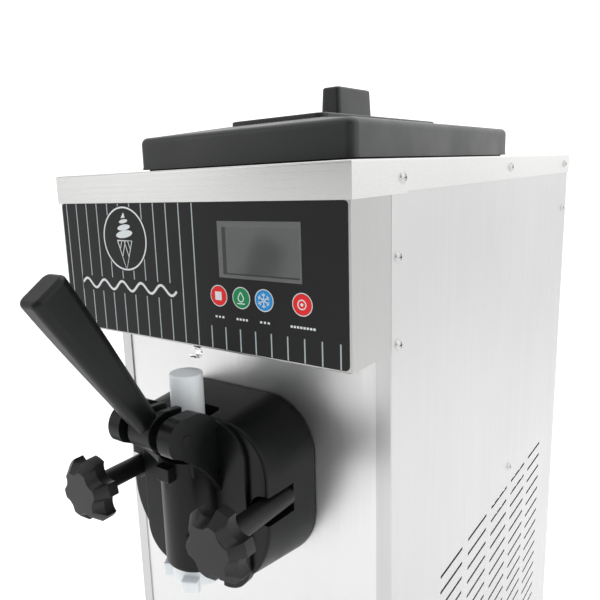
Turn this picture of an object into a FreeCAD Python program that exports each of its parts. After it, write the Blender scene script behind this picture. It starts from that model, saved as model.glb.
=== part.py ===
"""Countertop soft-serve ice cream maker, one STEP file for each physical piece.

The machine is drawn in cabinet coordinates: X to the right, Y from the front lip of the
top cover towards the back, Z up from the surface that the feet stand on. On export the
whole machine moves along Y, so that the origin is the bottom centre of its box.
All sizes are millimetres.
"""
import FreeCAD, Part
import math
import os
from FreeCAD import Vector

# ---- driving dimensions: cabinet ----
COVER_WIDTH = 280.0
COVER_DEPTH = 554.5
BODY_TOP = 700.0          # top face of the stainless cover
LIP_HEIGHT = 22.6         # folded edge of the cover
SHEET = 1.2               # stainless sheet
REVEAL = 1.5              # cover edge stands out this far past the side panels
HEAD_REACH = 54.2         # control head in front of the cabinet
HEAD_SET_BACK = 1.4       # head front behind the cover's lip
SHADOW_GAP = 1.4          # slot between head and side panel
HEAD_HEIGHT = 128.0
RETURN_WIDTH = 12.0       # side panel's edge folded round to the front
FOOT_HEIGHT = 20.0
FOOT_RADIUS = 18.0
RIM_HEIGHT = 22.0         # turned-up rim of the base pan
FIT = 0.3                 # clearance between nested sheet pieces
RUN = 0.05                # radial running clearance of shafts and pins

# ---- driving dimensions: freezing cylinder and valve door ----
AXIS_DROP = 242.0         # cylinder axis below the cover's top
BORE_RADIUS = 48.0
CYLINDER_WALL = 2.0
CYLINDER_LENGTH = 242.0
DOOR_HALF = 74.7
DOOR_UP = 66.0            # door's top edge above the cylinder axis
DOOR_DOWN = 75.0
DOOR_CORNER = 42.0        # upper corners
DOOR_LOW_CORNER = 52.0
DOOR_TAPER = 3.7          # the front is smaller by this on each side
DOOR_DEPTH = 55.6
BAND_HALF = 54.0          # raised band down the middle of the door
BAND_RISE = 3.5
FLANGE_DEPTH = 26.2       # door flange that the knobs clamp
CHANNEL_HEIGHT = 22.0     # open channel round each knob shank
STUD_SPREAD = 66.0
STUD_RADIUS = 4.0
BOSS_RADIUS = 24.6
BOSS_DROP = 59.0          # barrel's lower end below the cylinder axis
BOSS_RISE = 31.0
CAP_STEP = 4.0            # cap is smaller than the barrel by this
CAP_HEIGHT = 14.0
TAB_REACH = 6.5           # turning tabs past the cap
PLUNGER_RADIUS = 12.8
PLUNGER_TOP = 93.5        # above the cylinder axis, valve shut
PLUNGER_BOTTOM = -50.0
PLUNGER_Y = -2.0
PORT_RADIUS = 8.0
PORT_DROP = 40.0          # product port below the cylinder axis

# ---- driving dimensions: draw lever ----
PIN_Y = -37.0
PIN_RISE = 58.8           # pin above the cylinder axis
PIN_RADIUS = 4.5
PIN_HEAD_RADIUS = 7.5
HUB_RADIUS = 13.5
HUB_HALF = 11.0
HUB_X = -3.5              # the lever sits a little left of the valve rod
HANDLE_LENGTH = 141.0
HANDLE_TILT = 33.5        # degrees forward of upright
ARM_REACH = 36.0          # pin to the centre of the arm's round tip
ARM_DROP = 20.0           # degrees below level, valve shut
TONGUE_HALF = 4.0
EAR_INNER = 19.5
EAR_OUTER = 31.0
EAR_RADIUS = 17.0

# ---- driving dimensions: star knobs ----
KNOB_RADIUS = 26.5
KNOB_FACE_RADIUS = 18.6
KNOB_LOBES = 6
KNOB_TURN = 14.0          # degrees, where the first lobe points
KNOB_THICK = 18.0
KNOB_FLARE = 9.0          # depth over which the front spreads to the full radius
KNOB_FRONT = -60.5
SHANK_RADIUS = 8.0

# ---- driving dimensions: controls ----
WINDOW = (35.6, 104.0, -74.7, -35.6)      # X from and to, Z from and to below the top
KEY_RADIUS = 6.9
KEY_DROP = 87.7
KEY_TRAVEL = 0.5
KEY_PLACES = {"key_stop": 34.5, "key_clean": 54.5, "key_cold": 73.8, "key_set": 103.7}
OVERLAY = 0.5
LEAF_HALF = 3.4
LEAF_PIVOT_Y = 35.0
LEAF_TIP_Y = 10.5
LEAF_CURL = 4.0
LEAF_THICK = 0.6

# ---- driving dimensions: hopper ----
HOPPER_HALF = 92.0
HOPPER_FRONT = 80.0
HOPPER_BACK = 396.0
HOPPER_DEPTH = 94.0
HOPPER_CORNER = 18.0
FLANGE = 12.0
SEAL_THICK = 1.2
LID_SKIRT = 27.5          # height of the lid's side, its shoulder included
LID_RISE = 33.5
LID_WALL = 3.0
LID_OVERHANG = 2.5        # lid past the tank's flange
LID_CORNER = 7.0
LID_SHOULDER = 6.0
PLATEAU_HALF = 48.7
PLATEAU_INSET = 54.0
PLATEAU_RISE = 4.5
GRIP_HALF = 9.5
GRIP_LENGTH = 64.0
GRIP_RISE = 31.5
FEED_RADIUS = 9.0

# ---- driving dimensions: drive, cooling and tray ----
PULLEY_RADIUS = 60.0
MOTOR_PULLEY_RADIUS = 27.0
BELT_DROP = 158.0         # motor shaft below the cylinder axis
MOTOR_RADIUS = 58.0
MOTOR_LENGTH = 130.0
DECK_DROP = 70.0          # deck that carries the cylinder, below its axis
COMPRESSOR_RADIUS = 68.0
COMPRESSOR_HEIGHT = 175.0
COMPRESSOR_WALL = 14.0    # shell with the pump's metal spread over it
FAN_RADIUS = 72.0
FAN_Z = 160.0
FAN_FROM_BACK = 112.0
SLOT_LENGTH = 54.0
SLOT_HEIGHT = 3.0
SLOT_PITCH = 15.3
SLOT_COLUMNS = 5
SLOT_ROWS = 17
COLUMN_PITCH = 69.0
SLOT_FIRST_Y = 152.5
SLOT_TOP_Z = 345.0
TRAY_HALF = 85.0
TRAY_REACH = 106.0
TRAY_Z = 62.0
TRAY_HEIGHT = 28.0
TRAY_WALL = 2.0
SCREW_HEAD_RADIUS = 4.6
SCREW_HEAD_HEIGHT = 2.3
SCREW_RADIUS = 2.0
GLAND_Z = 90.0
GLAND_X = -90.0
GLAND_BORE = 4.5
SCREW_LENGTH = 6.0
FAN_MOTOR_RADIUS = 20.0
COIL_RADIUS = 4.0
PIPE_RADIUS = 4.0

# ---- places that follow from the driving dimensions ----
HALF_COVER = COVER_WIDTH / 2
HALF_BODY = HALF_COVER - REVEAL
HALF_INSIDE = HALF_BODY - SHEET
FRONT_Y = HEAD_SET_BACK + HEAD_REACH
REAR_Y = COVER_DEPTH - 2 * SHEET - FIT     # front face of the rear panel
REAR_OUT = REAR_Y + SHEET
UNDER_COVER = BODY_TOP - SHEET
LIP_BOTTOM = BODY_TOP - LIP_HEIGHT
PANEL_TOP = UNDER_COVER - FIT
HEAD_BOTTOM = BODY_TOP - HEAD_HEIGHT
PAN_Z = FOOT_HEIGHT
PANEL_BOTTOM = PAN_Z + 4.0
AXIS_Z = BODY_TOP - AXIS_DROP
DECK_Z = AXIS_Z - DECK_DROP
PLATE_Y = FRONT_Y + SHEET                  # front face of the front panel
INNER_FRONT = PLATE_Y + SHEET              # back face of the front panel
CYLINDER_OUTER = BORE_RADIUS + CYLINDER_WALL
CYLINDER_BACK = INNER_FRONT + CYLINDER_LENGTH
PIN_Z = AXIS_Z + PIN_RISE
SLIT_Z = PIN_Z - ARM_REACH * math.sin(math.radians(ARM_DROP))
BOSS_BOTTOM = AXIS_Z - BOSS_DROP
BOSS_TOP = AXIS_Z + BOSS_RISE
MOTOR_Z = AXIS_Z - BELT_DROP
GEARBOX_BACK = CYLINDER_BACK + 72.0
BELT_Y = GEARBOX_BACK + 14.0
FAN_Y = COVER_DEPTH - FAN_FROM_BACK
LID_BOTTOM = BODY_TOP + SHEET + SEAL_THICK
SHAFT_RADIUS = 8.0
SCREW_HOLE = SCREW_RADIUS + 0.1
KEY_FLANGE_Y = HEAD_SET_BACK + SHEET + 0.3
KEY_STEM_END = KEY_FLANGE_Y + 4.3
BOARD_Y = KEY_STEM_END + KEY_TRAVEL + 3.6
LEAF_PIVOT_Z = HEAD_BOTTOM + SHEET + 3.0
LEAF_CURL_Z = HEAD_BOTTOM - 8.5
PIPE_X = -CYLINDER_OUTER - 34.0
AXES = {"x": Vector(1, 0, 0), "y": Vector(0, 1, 0), "z": Vector(0, 0, 1)}


def place(axis, level, a, b):
    """A point from its level along an axis and its two other coordinates in XYZ order."""
    if axis == "x":
        return Vector(level, a, b)
    if axis == "y":
        return Vector(a, level, b)
    return Vector(a, b, level)


def box(x0, x1, y0, y1, z0, z1):
    return Part.makeBox(x1 - x0, y1 - y0, z1 - z0, Vector(x0, y0, z0))


def rod(axis, a, b, radius, low, high):
    return Part.makeCylinder(radius, high - low, place(axis, low, a, b), AXES[axis])


def cone(axis, a, b, low_radius, high_radius, low, high):
    return Part.makeCone(low_radius, high_radius, high - low, place(axis, low, a, b), AXES[axis])


def ring(axis, a, b, outer, inner, low, high):
    return rod(axis, a, b, outer, low, high).cut(rod(axis, a, b, inner, low - 1, high + 1))


def rounded_wire(axis, level, a0, a1, b0, b1, radius, low_radius=None):
    """A rectangle with round corners, in the plane across the axis at a level."""
    low = radius if low_radius is None else low_radius
    edges = []
    corners = [(a1, b0, -45, low), (a1, b1, 45, radius), (a0, b1, 135, radius), (a0, b0, 225, low)]
    last = None
    first = None
    for a, b, middle, radius in corners:
        centre_a = a - radius if a == a1 else a + radius
        centre_b = b - radius if b == b1 else b + radius
        arc = []
        for turn in (middle - 45, middle, middle + 45):
            angle = math.radians(turn)
            arc.append(place(axis, level, centre_a + radius * math.cos(angle),
                             centre_b + radius * math.sin(angle)))
        if last is None:
            first = arc[0]
        else:
            edges.append(Part.makeLine(last, arc[0]))
        edges.append(Part.Arc(*arc).toShape())
        last = arc[2]
    edges.append(Part.makeLine(last, first))
    return Part.Wire(edges)


def rounded(axis, low, high, a0, a1, b0, b1, radius):
    face = Part.Face(rounded_wire(axis, low, a0, a1, b0, b1, radius))
    return face.extrude(AXES[axis] * (high - low))


def loft(wires, ruled=True):
    return Part.makeLoft(wires, True, ruled)


def prism(axis, low, high, points):
    """A straight-sided polygon, extruded along an axis."""
    corners = [place(axis, low, a, b) for a, b in points]
    return Part.Face(Part.makePolygon(corners + corners[:1])).extrude(AXES[axis] * (high - low))


def fuse(shapes):
    whole = shapes[0].multiFuse(shapes[1:]) if len(shapes) > 1 else shapes[0]
    return whole.removeSplitter()


def cut(shape, tools):
    return shape.cut(Part.makeCompound(tools)) if tools else shape


def soften(shape, radius, chosen):
    """Round every edge that the chosen test accepts."""
    edges = [edge for edge in shape.Edges if chosen(edge)]
    return shape.makeFillet(radius, edges)


def sweep(points, radius, bend):
    """A round pipe along straight runs joined by tangent arcs of one bend radius."""
    edges = []
    start = points[0]
    for before, corner, after in zip(points, points[1:], points[2:]):
        into = (corner - before).normalize()
        out = (after - corner).normalize()
        half = into.getAngle(out) / 2
        back = bend * math.tan(half)
        enter = corner - into * back
        leave = corner + out * back
        inward = (out - into).normalize()
        middle = corner + inward * (bend / math.cos(half) - bend)
        edges.append(Part.makeLine(start, enter))
        edges.append(Part.Arc(enter, middle, leave).toShape())
        start = leave
    edges.append(Part.makeLine(start, points[-1]))
    section = Part.Wire(Part.makeCircle(radius, points[0], points[1] - points[0]))
    return Part.Wire(edges).makePipeShell([section], True, False)


# ---- screws: one list serves the holes and the screws themselves ----
def screw_places():
    """Every cabinet screw as (seat point, outward direction)."""
    side = [(68.5, BODY_TOP - 12.4), (COVER_DEPTH * 0.5556, BODY_TOP - 10.4),
            (COVER_DEPTH - 26.0, BODY_TOP - 11.0)]
    panel = [(FRONT_Y + 9.3, BODY_TOP - 64.1), (FRONT_Y + 10.3, BODY_TOP - 124.9),
             (FRONT_Y + 9.3, PAN_Z + 12.0), (REAR_Y - 16.0, PAN_Z + 12.0),
             (REAR_Y - 16.0, BODY_TOP - 64.1), (COVER_DEPTH * 0.627, SLOT_TOP_Z + 23.0)]
    found = []
    for way in (-1, 1):
        for y, z in side:
            found.append((Vector(way * HALF_COVER, y, z), Vector(way, 0, 0)))
        for y, z in panel:
            found.append((Vector(way * HALF_BODY, y, z), Vector(way, 0, 0)))
        found.append((Vector(way * (HALF_BODY - 10), COVER_DEPTH, BODY_TOP - 11.0), Vector(0, 1, 0)))
        for z in (BODY_TOP - 45.0, (BODY_TOP + PAN_Z) / 2, PAN_Z + 12.0):
            found.append((Vector(way * (HALF_BODY - 10), REAR_OUT, z), Vector(0, 1, 0)))
    return found


def screw_holes():
    return [Part.makeCylinder(SCREW_HOLE, SCREW_LENGTH + 3, seat - out * (SCREW_LENGTH + 1), out)
            for seat, out in screw_places()]


def cabinet_screws():
    """Truss-head screws with a cross recess."""
    screws = []
    for seat, out in screw_places():
        sphere = (SCREW_HEAD_RADIUS ** 2 + SCREW_HEAD_HEIGHT ** 2) / (2 * SCREW_HEAD_HEIGHT)
        ball = Part.makeSphere(sphere, seat - out * (sphere - SCREW_HEAD_HEIGHT))
        head = ball.common(Part.makeCylinder(SCREW_HEAD_RADIUS, SCREW_HEAD_HEIGHT + 1, seat, out))
        shank = Part.makeCylinder(SCREW_RADIUS, SCREW_LENGTH, seat - out * SCREW_LENGTH, out)
        turn = FreeCAD.Rotation(Vector(0, 0, 1), out)
        recess = []
        for length, width in ((4.4, 0.9), (0.9, 4.4)):
            bar = Part.makeBox(length, width, 2.0, Vector(-length / 2, -width / 2, 0.9))
            bar.Placement = FreeCAD.Placement(seat, turn)
            recess.append(bar)
        screws.append(cut(head.fuse(shank), recess))
    return Part.makeCompound(screws)


# ---- cabinet ----
def top_cover():
    """Folded stainless cover with its hopper opening."""
    outer = box(-HALF_COVER, HALF_COVER, 0, COVER_DEPTH, LIP_BOTTOM, BODY_TOP)
    outer = soften(outer, 1.6, lambda e: abs(e.CenterOfMass.z - BODY_TOP) < 0.01)
    inner = box(-HALF_COVER + SHEET, HALF_COVER - SHEET, SHEET, COVER_DEPTH - SHEET,
                LIP_BOTTOM - 1, UNDER_COVER)
    mouth = rounded("z", UNDER_COVER - 1, BODY_TOP + 1, -HOPPER_HALF - FIT, HOPPER_HALF + FIT,
                    HOPPER_FRONT - FIT, HOPPER_BACK + FIT, HOPPER_CORNER + FIT)
    notches = [box(way * HALF_COVER - 2, way * HALF_COVER + 2, FRONT_Y + 20, COVER_DEPTH + 1,
                   LIP_BOTTOM - 1, LIP_BOTTOM + 1.2) for way in (-1, 1)]
    return cut(outer, [inner, mouth] + notches + screw_holes())


def head_shell():
    """Stainless control head: front plate, two sides and a floor, open to the cabinet."""
    front = HEAD_SET_BACK
    back = FRONT_Y - SHADOW_GAP
    outer = box(-HALF_BODY, HALF_BODY, front, back, HEAD_BOTTOM, PANEL_TOP)
    outer = soften(outer, 0.8, lambda e: abs(e.CenterOfMass.y - front) < 0.01
                   and abs(e.CenterOfMass.z - PANEL_TOP) > 1)
    inner = box(-HALF_INSIDE, HALF_INSIDE, front + SHEET, back + 1, HEAD_BOTTOM + SHEET, PANEL_TOP + 1)
    window = box(WINDOW[0], WINDOW[1], front - 1, front + SHEET + 1,
                 BODY_TOP + WINDOW[2], BODY_TOP + WINDOW[3])
    keys = [rod("y", x, BODY_TOP - KEY_DROP, KEY_RADIUS + FIT, front - 1, front + SHEET + 1)
            for x in KEY_PLACES.values()]
    leaf_slot = box(-LEAF_HALF - 1.5, LEAF_HALF + 1.5, front + SHEET, LEAF_PIVOT_Y - 1,
                    HEAD_BOTTOM - 1, HEAD_BOTTOM + SHEET + 1)
    tabs = []
    for way in (-1, 1):
        x0, x1 = sorted((way * (HALF_INSIDE - 20), way * HALF_INSIDE))
        tabs.append(box(x0, x1, back - SHEET, back, HEAD_BOTTOM + 12, PANEL_TOP - 60))
    return fuse([cut(outer, [inner, window, leaf_slot] + keys)] + tabs)


def control_overlay():
    """Printed facing on the front of the control head."""
    front = HEAD_SET_BACK - OVERLAY
    sheet = rounded("y", front, HEAD_SET_BACK, -HALF_BODY + 2, HALF_BODY - 2,
                    HEAD_BOTTOM + 1.5, LIP_BOTTOM - 0.2, 3.0)
    window = box(WINDOW[0], WINDOW[1], front - 1, HEAD_SET_BACK + 1,
                 BODY_TOP + WINDOW[2], BODY_TOP + WINDOW[3])
    keys = [rod("y", x, BODY_TOP - KEY_DROP, KEY_RADIUS + FIT, front - 1, HEAD_SET_BACK + 1)
            for x in KEY_PLACES.values()]
    return cut(sheet, [window] + keys)


def display_window():
    """Clear pane, let into the head flush with the overlay."""
    slack = 0.1
    low = BODY_TOP + WINDOW[2]
    high = BODY_TOP + WINDOW[3]
    pane = box(WINDOW[0] + slack, WINDOW[1] - slack, HEAD_SET_BACK - OVERLAY + 0.2,
               HEAD_SET_BACK + SHEET, low + slack, high - slack)
    backing = box(WINDOW[0] - 3, WINDOW[1] + 3, HEAD_SET_BACK + SHEET, HEAD_SET_BACK + SHEET + 1.5,
                  low - 3, high + 3)
    return fuse([pane, backing])


def control_key(x):
    """Push key: cap, retaining flange behind the front plate, and a stem to its switch."""
    z = BODY_TOP - KEY_DROP
    cap = rod("y", x, z, KEY_RADIUS, HEAD_SET_BACK - OVERLAY - 0.5, KEY_FLANGE_Y)
    cap = soften(cap, 0.35, lambda e: e.CenterOfMass.y < HEAD_SET_BACK - OVERLAY - 0.4 and e.Length > 20)
    flange = rod("y", x, z, KEY_RADIUS + 1.4, KEY_FLANGE_Y, KEY_FLANGE_Y + 1.2)
    stem = rod("y", x, z, 3.0, KEY_FLANGE_Y + 1.2, KEY_STEM_END)
    return fuse([cap, flange, stem])


def control_board():
    """Circuit board on four posts, with the display module and one switch for each key."""
    low_x = WINDOW[0] - 16
    high_x = WINDOW[1] + 16
    low_z = BODY_TOP - KEY_DROP - 13
    high_z = BODY_TOP + WINDOW[3] + 8
    pieces = [box(low_x, high_x, BOARD_Y, BOARD_Y + 1.6, low_z, high_z)]
    pieces.append(box(WINDOW[0], WINDOW[1], HEAD_SET_BACK + SHEET + 2.5, BOARD_Y,
                      BODY_TOP + WINDOW[2], BODY_TOP + WINDOW[3]))
    for x in KEY_PLACES.values():
        pieces.append(box(x - 3, x + 3, KEY_STEM_END + KEY_TRAVEL + 0.1, BOARD_Y,
                          BODY_TOP - KEY_DROP - 3, BODY_TOP - KEY_DROP + 3))
    for x in (low_x + 4, high_x - 4):
        for z in (low_z + 4, high_z - 4):
            pieces.append(rod("y", x, z, 3.0, HEAD_SET_BACK + SHEET, BOARD_Y))
    pieces.append(box(WINDOW[0] + 4, WINDOW[0] + 22, BOARD_Y + 1.6, BOARD_Y + 11.6, low_z + 6, low_z + 22))
    pieces.append(rod("y", WINDOW[1] - 12, low_z + 16, 7.0, BOARD_Y + 1.6, BOARD_Y + 16))
    return fuse(pieces)


# ---- start switch: a sprung leaf that the rising plunger lifts ----


def switch_body():
    """Small switch that stands on the head's floor behind the leaf."""
    floor = HEAD_BOTTOM + SHEET
    case = box(-10, 10, LEAF_PIVOT_Y + 3, FRONT_Y - SHADOW_GAP - 2, floor, floor + 12)
    offset = LEAF_HALF + 1.6
    cheeks = [box(way * offset - 1, way * offset + 1, LEAF_PIVOT_Y - 2.5, LEAF_PIVOT_Y + 3,
                  floor, floor + 6)
              for way in (-1, 1)]
    pin = rod("x", LEAF_PIVOT_Y, LEAF_PIVOT_Z, 0.8, -offset - 1, offset + 1)
    return fuse([case, pin] + cheeks)


def switch_leaf():
    """Bent spring-steel strip with a curled end that hangs below the head."""
    eye = ring("x", LEAF_PIVOT_Y, LEAF_PIVOT_Z, 1.6, 0.8 + RUN, -LEAF_HALF, LEAF_HALF)
    curl = ring("x", LEAF_TIP_Y, LEAF_CURL_Z, LEAF_CURL, LEAF_CURL - LEAF_THICK, -LEAF_HALF, LEAF_HALF)
    gap = box(-LEAF_HALF - 1, LEAF_HALF + 1, LEAF_TIP_Y - LEAF_CURL - 1, LEAF_TIP_Y, LEAF_CURL_Z,
              LEAF_CURL_Z + LEAF_CURL + 1)
    start_y = LEAF_PIVOT_Y - 1.2
    start_z = LEAF_PIVOT_Z - 0.9
    end_y = LEAF_TIP_Y + 1.0
    end_z = LEAF_CURL_Z + LEAF_CURL - 0.2
    strip = prism("x", -LEAF_HALF, LEAF_HALF,
                  [(start_y, start_z), (end_y, end_z), (end_y, end_z - LEAF_THICK),
                   (start_y, start_z - LEAF_THICK)])
    hole = rod("x", LEAF_PIVOT_Y, LEAF_PIVOT_Z, 0.8 + RUN, -LEAF_HALF - 1, LEAF_HALF + 1)
    return cut(fuse([eye, curl.cut(gap), strip]), [hole])


def vent_cutters():
    """Horizontal slots of the side panels, one cutter through both sides for each slot."""
    cutters = []
    half = SLOT_HEIGHT / 2
    for column in range(SLOT_COLUMNS):
        start = SLOT_FIRST_Y + column * COLUMN_PITCH
        for row in range(SLOT_ROWS):
            z = SLOT_TOP_Z - row * SLOT_PITCH
            cutters.append(rounded("x", -HALF_COVER, HALF_COVER, start, start + SLOT_LENGTH,
                                   z - half, z + half, half * 0.98))
    return cutters


def side_panel(way):
    """Side panel with its edge folded round on to the front, and cooling slots."""
    x0, x1 = sorted((way * HALF_INSIDE, way * HALF_BODY))
    skin = box(x0, x1, FRONT_Y, REAR_Y, PANEL_BOTTOM, PANEL_TOP)
    r0, r1 = sorted((way * (HALF_BODY - RETURN_WIDTH), way * HALF_BODY))
    fold = box(r0, r1, FRONT_Y, FRONT_Y + SHEET, PANEL_BOTTOM, PANEL_TOP)
    panel = fuse([skin, fold])
    panel = soften(panel, 0.9, lambda e: abs(e.CenterOfMass.x - way * HALF_BODY) < 0.01
                   and abs(e.CenterOfMass.y - FRONT_Y) < 0.01)
    return cut(panel, vent_cutters() + screw_holes())


def front_panel():
    """Bright front panel, held behind the folded edges of the side panels."""
    inside = HALF_INSIDE - FIT
    plate = box(-inside, inside, PLATE_Y, INNER_FRONT, PANEL_BOTTOM, PANEL_TOP)
    holes = [rod("y", 0, AXIS_Z, CYLINDER_OUTER + FIT, PLATE_Y - 1, INNER_FRONT + 1)]
    for x in (-STUD_SPREAD, STUD_SPREAD):
        holes.append(rod("y", x, AXIS_Z, STUD_RADIUS + FIT, PLATE_Y - 1, INNER_FRONT + 1))
    holes.append(box(-HALF_INSIDE + 30, HALF_INSIDE - 30, PLATE_Y - 1, INNER_FRONT + 1,
                     HEAD_BOTTOM + 30, PANEL_TOP - 12))
    return cut(plate, holes)


def rear_panel():
    """Rear panel with exhaust slots and the hole for the cable gland."""
    plate = box(-HALF_BODY, HALF_BODY, REAR_Y, REAR_OUT, PANEL_BOTTOM, PANEL_TOP)
    slots = []
    for column in range(3):
        middle = (column - 1) * 78.0
        for row in range(12):
            z = AXIS_Z - 150 - row * 13.0
            slots.append(rounded("y", REAR_Y - 1, REAR_Y + 3, middle - 32, middle + 32, z - 2, z + 2, 1.9))
    gland = rod("y", GLAND_X, GLAND_Z, GLAND_BORE + 4.0, REAR_Y - 1, REAR_Y + 3)
    return cut(plate, slots + [gland] + screw_holes())


def base_pan():
    """Folded pan that carries the cooling unit."""
    half = HALF_INSIDE - FIT
    front = INNER_FRONT + FIT
    back = REAR_Y - FIT
    outer = box(-half, half, front, back, PAN_Z, PAN_Z + RIM_HEIGHT)
    inner = box(-half + SHEET, half - SHEET, front + SHEET, back - SHEET,
                PAN_Z + SHEET, PAN_Z + RIM_HEIGHT + 1)
    drains = [rounded("z", PAN_Z - 1, PAN_Z + 3, x - 26, x + 26, FRONT_Y + 70, FRONT_Y + 78, 3.5)
              for x in (-70, 70)]
    return cut(outer, [inner] + drains + screw_holes())


def chassis_frame():
    """Four angle posts, the deck that carries the freezing cylinder, and two top rails."""
    outer = HALF_INSIDE - FIT - SHEET - 0.2
    front = INNER_FRONT + FIT + SHEET + 0.2
    back = REAR_Y - FIT - SHEET - 0.2
    low = PAN_Z + SHEET
    pieces = []
    for way in (-1, 1):
        for y, step in ((front, 1), (back, -1)):
            x0, x1 = sorted((way * outer, way * (outer - 16)))
            y0, y1 = sorted((y, y + step * 2))
            pieces.append(box(x0, x1, y0, y1, low, PANEL_TOP - 2))
            x0, x1 = sorted((way * outer, way * (outer - 2)))
            y0, y1 = sorted((y, y + step * 16))
            pieces.append(box(x0, x1, y0, y1, low, PANEL_TOP - 2))
        x0, x1 = sorted((way * outer, way * (outer - 14)))
        pieces.append(box(x0, x1, front, back, PANEL_TOP - 18, PANEL_TOP - 2))
    deck = box(-outer, outer, front, back, DECK_Z - 2, DECK_Z)
    openings = [rounded("z", DECK_Z - 3, DECK_Z + 1, -PULLEY_RADIUS - 10, PULLEY_RADIUS + 10,
                        BELT_Y - 16, BELT_Y + 16, 8.0),
                rounded("z", DECK_Z - 3, DECK_Z + 1, -outer + 22, -outer + 52, back - 70, back - 30, 8.0)]
    for x, y in suction_hole(), liquid_hole():
        openings.append(rod("z", x, y, 8.0, DECK_Z - 3, DECK_Z + 1))
    return cut(fuse(pieces + [cut(deck, openings)]), screw_holes())


def feet():
    """Four rubber feet with a fixing recess."""
    made = []
    for x in (-HALF_BODY + 34, HALF_BODY - 34):
        for y in (FRONT_Y + 35, REAR_Y - 35):
            foot = cone("z", x, y, FOOT_RADIUS - 3, FOOT_RADIUS, 0, 6).fuse(
                cone("z", x, y, FOOT_RADIUS, FOOT_RADIUS - 3, 6, FOOT_HEIGHT))
            made.append(cut(foot, [rod("z", x, y, 6.0, -1, 5.0)]))
    return Part.makeCompound(made)


def cable_gland():
    """Gland in the rear panel, with an open bore for a supply cable."""
    body = rod("y", GLAND_X, GLAND_Z, GLAND_BORE + 3.9, REAR_Y - 8, REAR_Y + 4)
    inner_nut = Part.makeCylinder(GLAND_BORE + 7.0, 4.0, Vector(GLAND_X, REAR_Y - 5, GLAND_Z), AXES["y"])
    nose = Part.makeCylinder(GLAND_BORE + 6.0, 6.0, Vector(GLAND_X, REAR_OUT, GLAND_Z), AXES["y"])
    nose = soften(nose, 1.5, lambda e: e.CenterOfMass.y > REAR_Y + 6 and e.Length > 30)
    return fuse([body, inner_nut, nose]).cut(rod("y", GLAND_X, GLAND_Z, GLAND_BORE, REAR_Y - 9, REAR_Y + 12))


# ---- hopper ----


def feed_place():
    return INNER_FRONT + 52.0


def hopper_tank():
    """Deep-drawn stainless mix tank whose flange rests on the cover."""
    low = BODY_TOP - HOPPER_DEPTH
    half = HOPPER_HALF
    bowl = rounded("z", low, BODY_TOP + SHEET, -half, half, HOPPER_FRONT, HOPPER_BACK, HOPPER_CORNER)
    bowl = soften(bowl, 9.0, lambda e: abs(e.CenterOfMass.z - low) < 0.01)
    flange = rounded("z", BODY_TOP, BODY_TOP + SHEET, -half - FLANGE, half + FLANGE,
                     HOPPER_FRONT - FLANGE, HOPPER_BACK + FLANGE, HOPPER_CORNER - 9)
    inside = rounded("z", low + SHEET, BODY_TOP + SHEET + 1, -half + SHEET, half - SHEET,
                     HOPPER_FRONT + SHEET, HOPPER_BACK - SHEET, HOPPER_CORNER - SHEET)
    inside = soften(inside, 8.0, lambda e: abs(e.CenterOfMass.z - low - SHEET) < 0.01)
    outlet = rod("z", 0, feed_place(), FEED_RADIUS, low - 1, low + 3)
    return cut(fuse([bowl, flange]), [inside, outlet])


def lid_seal():
    """Soft gasket between the tank's flange and the lid."""
    half = HOPPER_HALF + FLANGE
    outer = rounded("z", BODY_TOP + SHEET, LID_BOTTOM, -half + 1, half - 1,
                    HOPPER_FRONT - FLANGE + 1, HOPPER_BACK + FLANGE - 1, HOPPER_CORNER - 10)
    inner = rounded("z", BODY_TOP, LID_BOTTOM + 1, -half + 8, half - 8,
                    HOPPER_FRONT - FLANGE + 8, HOPPER_BACK + FLANGE - 8, HOPPER_CORNER - 12)
    return outer.cut(inner)


def lid_solid(shrink, floor):
    """The lid's skirt and shallow dome, or their hollow when shrunk by the wall."""
    half = HOPPER_HALF + FLANGE + LID_OVERHANG - shrink
    front = HOPPER_FRONT - FLANGE - LID_OVERHANG + shrink
    back = HOPPER_BACK + FLANGE + LID_OVERHANG - shrink
    edge = LID_BOTTOM + LID_SKIRT - shrink
    top = LID_BOTTOM + LID_RISE - shrink
    skirt = rounded("z", floor, edge, -half, half, front, back, LID_CORNER - shrink)
    if shrink == 0:
        skirt = soften(skirt, LID_SHOULDER, lambda e: abs(e.CenterOfMass.z - edge) < 0.01)
    rim = LID_SHOULDER + 0.5
    slope = PLATEAU_INSET - 3
    dome = loft([rounded_wire("z", edge, -half + rim, half - rim, front + rim, back - rim, 6.0),
                 rounded_wire("z", top, -PLATEAU_HALF - 3, PLATEAU_HALF + 3,
                              front + slope, back - slope, 6.0)])
    return skirt, dome


def lid_grip(low, high):
    """Block that the lid is lifted by."""
    middle = (HOPPER_FRONT + HOPPER_BACK) / 2 + 10.0
    half = GRIP_LENGTH / 2
    foot = 1.5
    grip = loft([rounded_wire("z", low, -GRIP_HALF - foot, GRIP_HALF + foot, middle - half - foot,
                              middle + half + foot, 4.0),
                 rounded_wire("z", high, -GRIP_HALF, GRIP_HALF, middle - half, middle + half, 4.0)])
    return soften(grip, 2.5, lambda e: abs(e.CenterOfMass.z - high) < 0.01)


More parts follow.
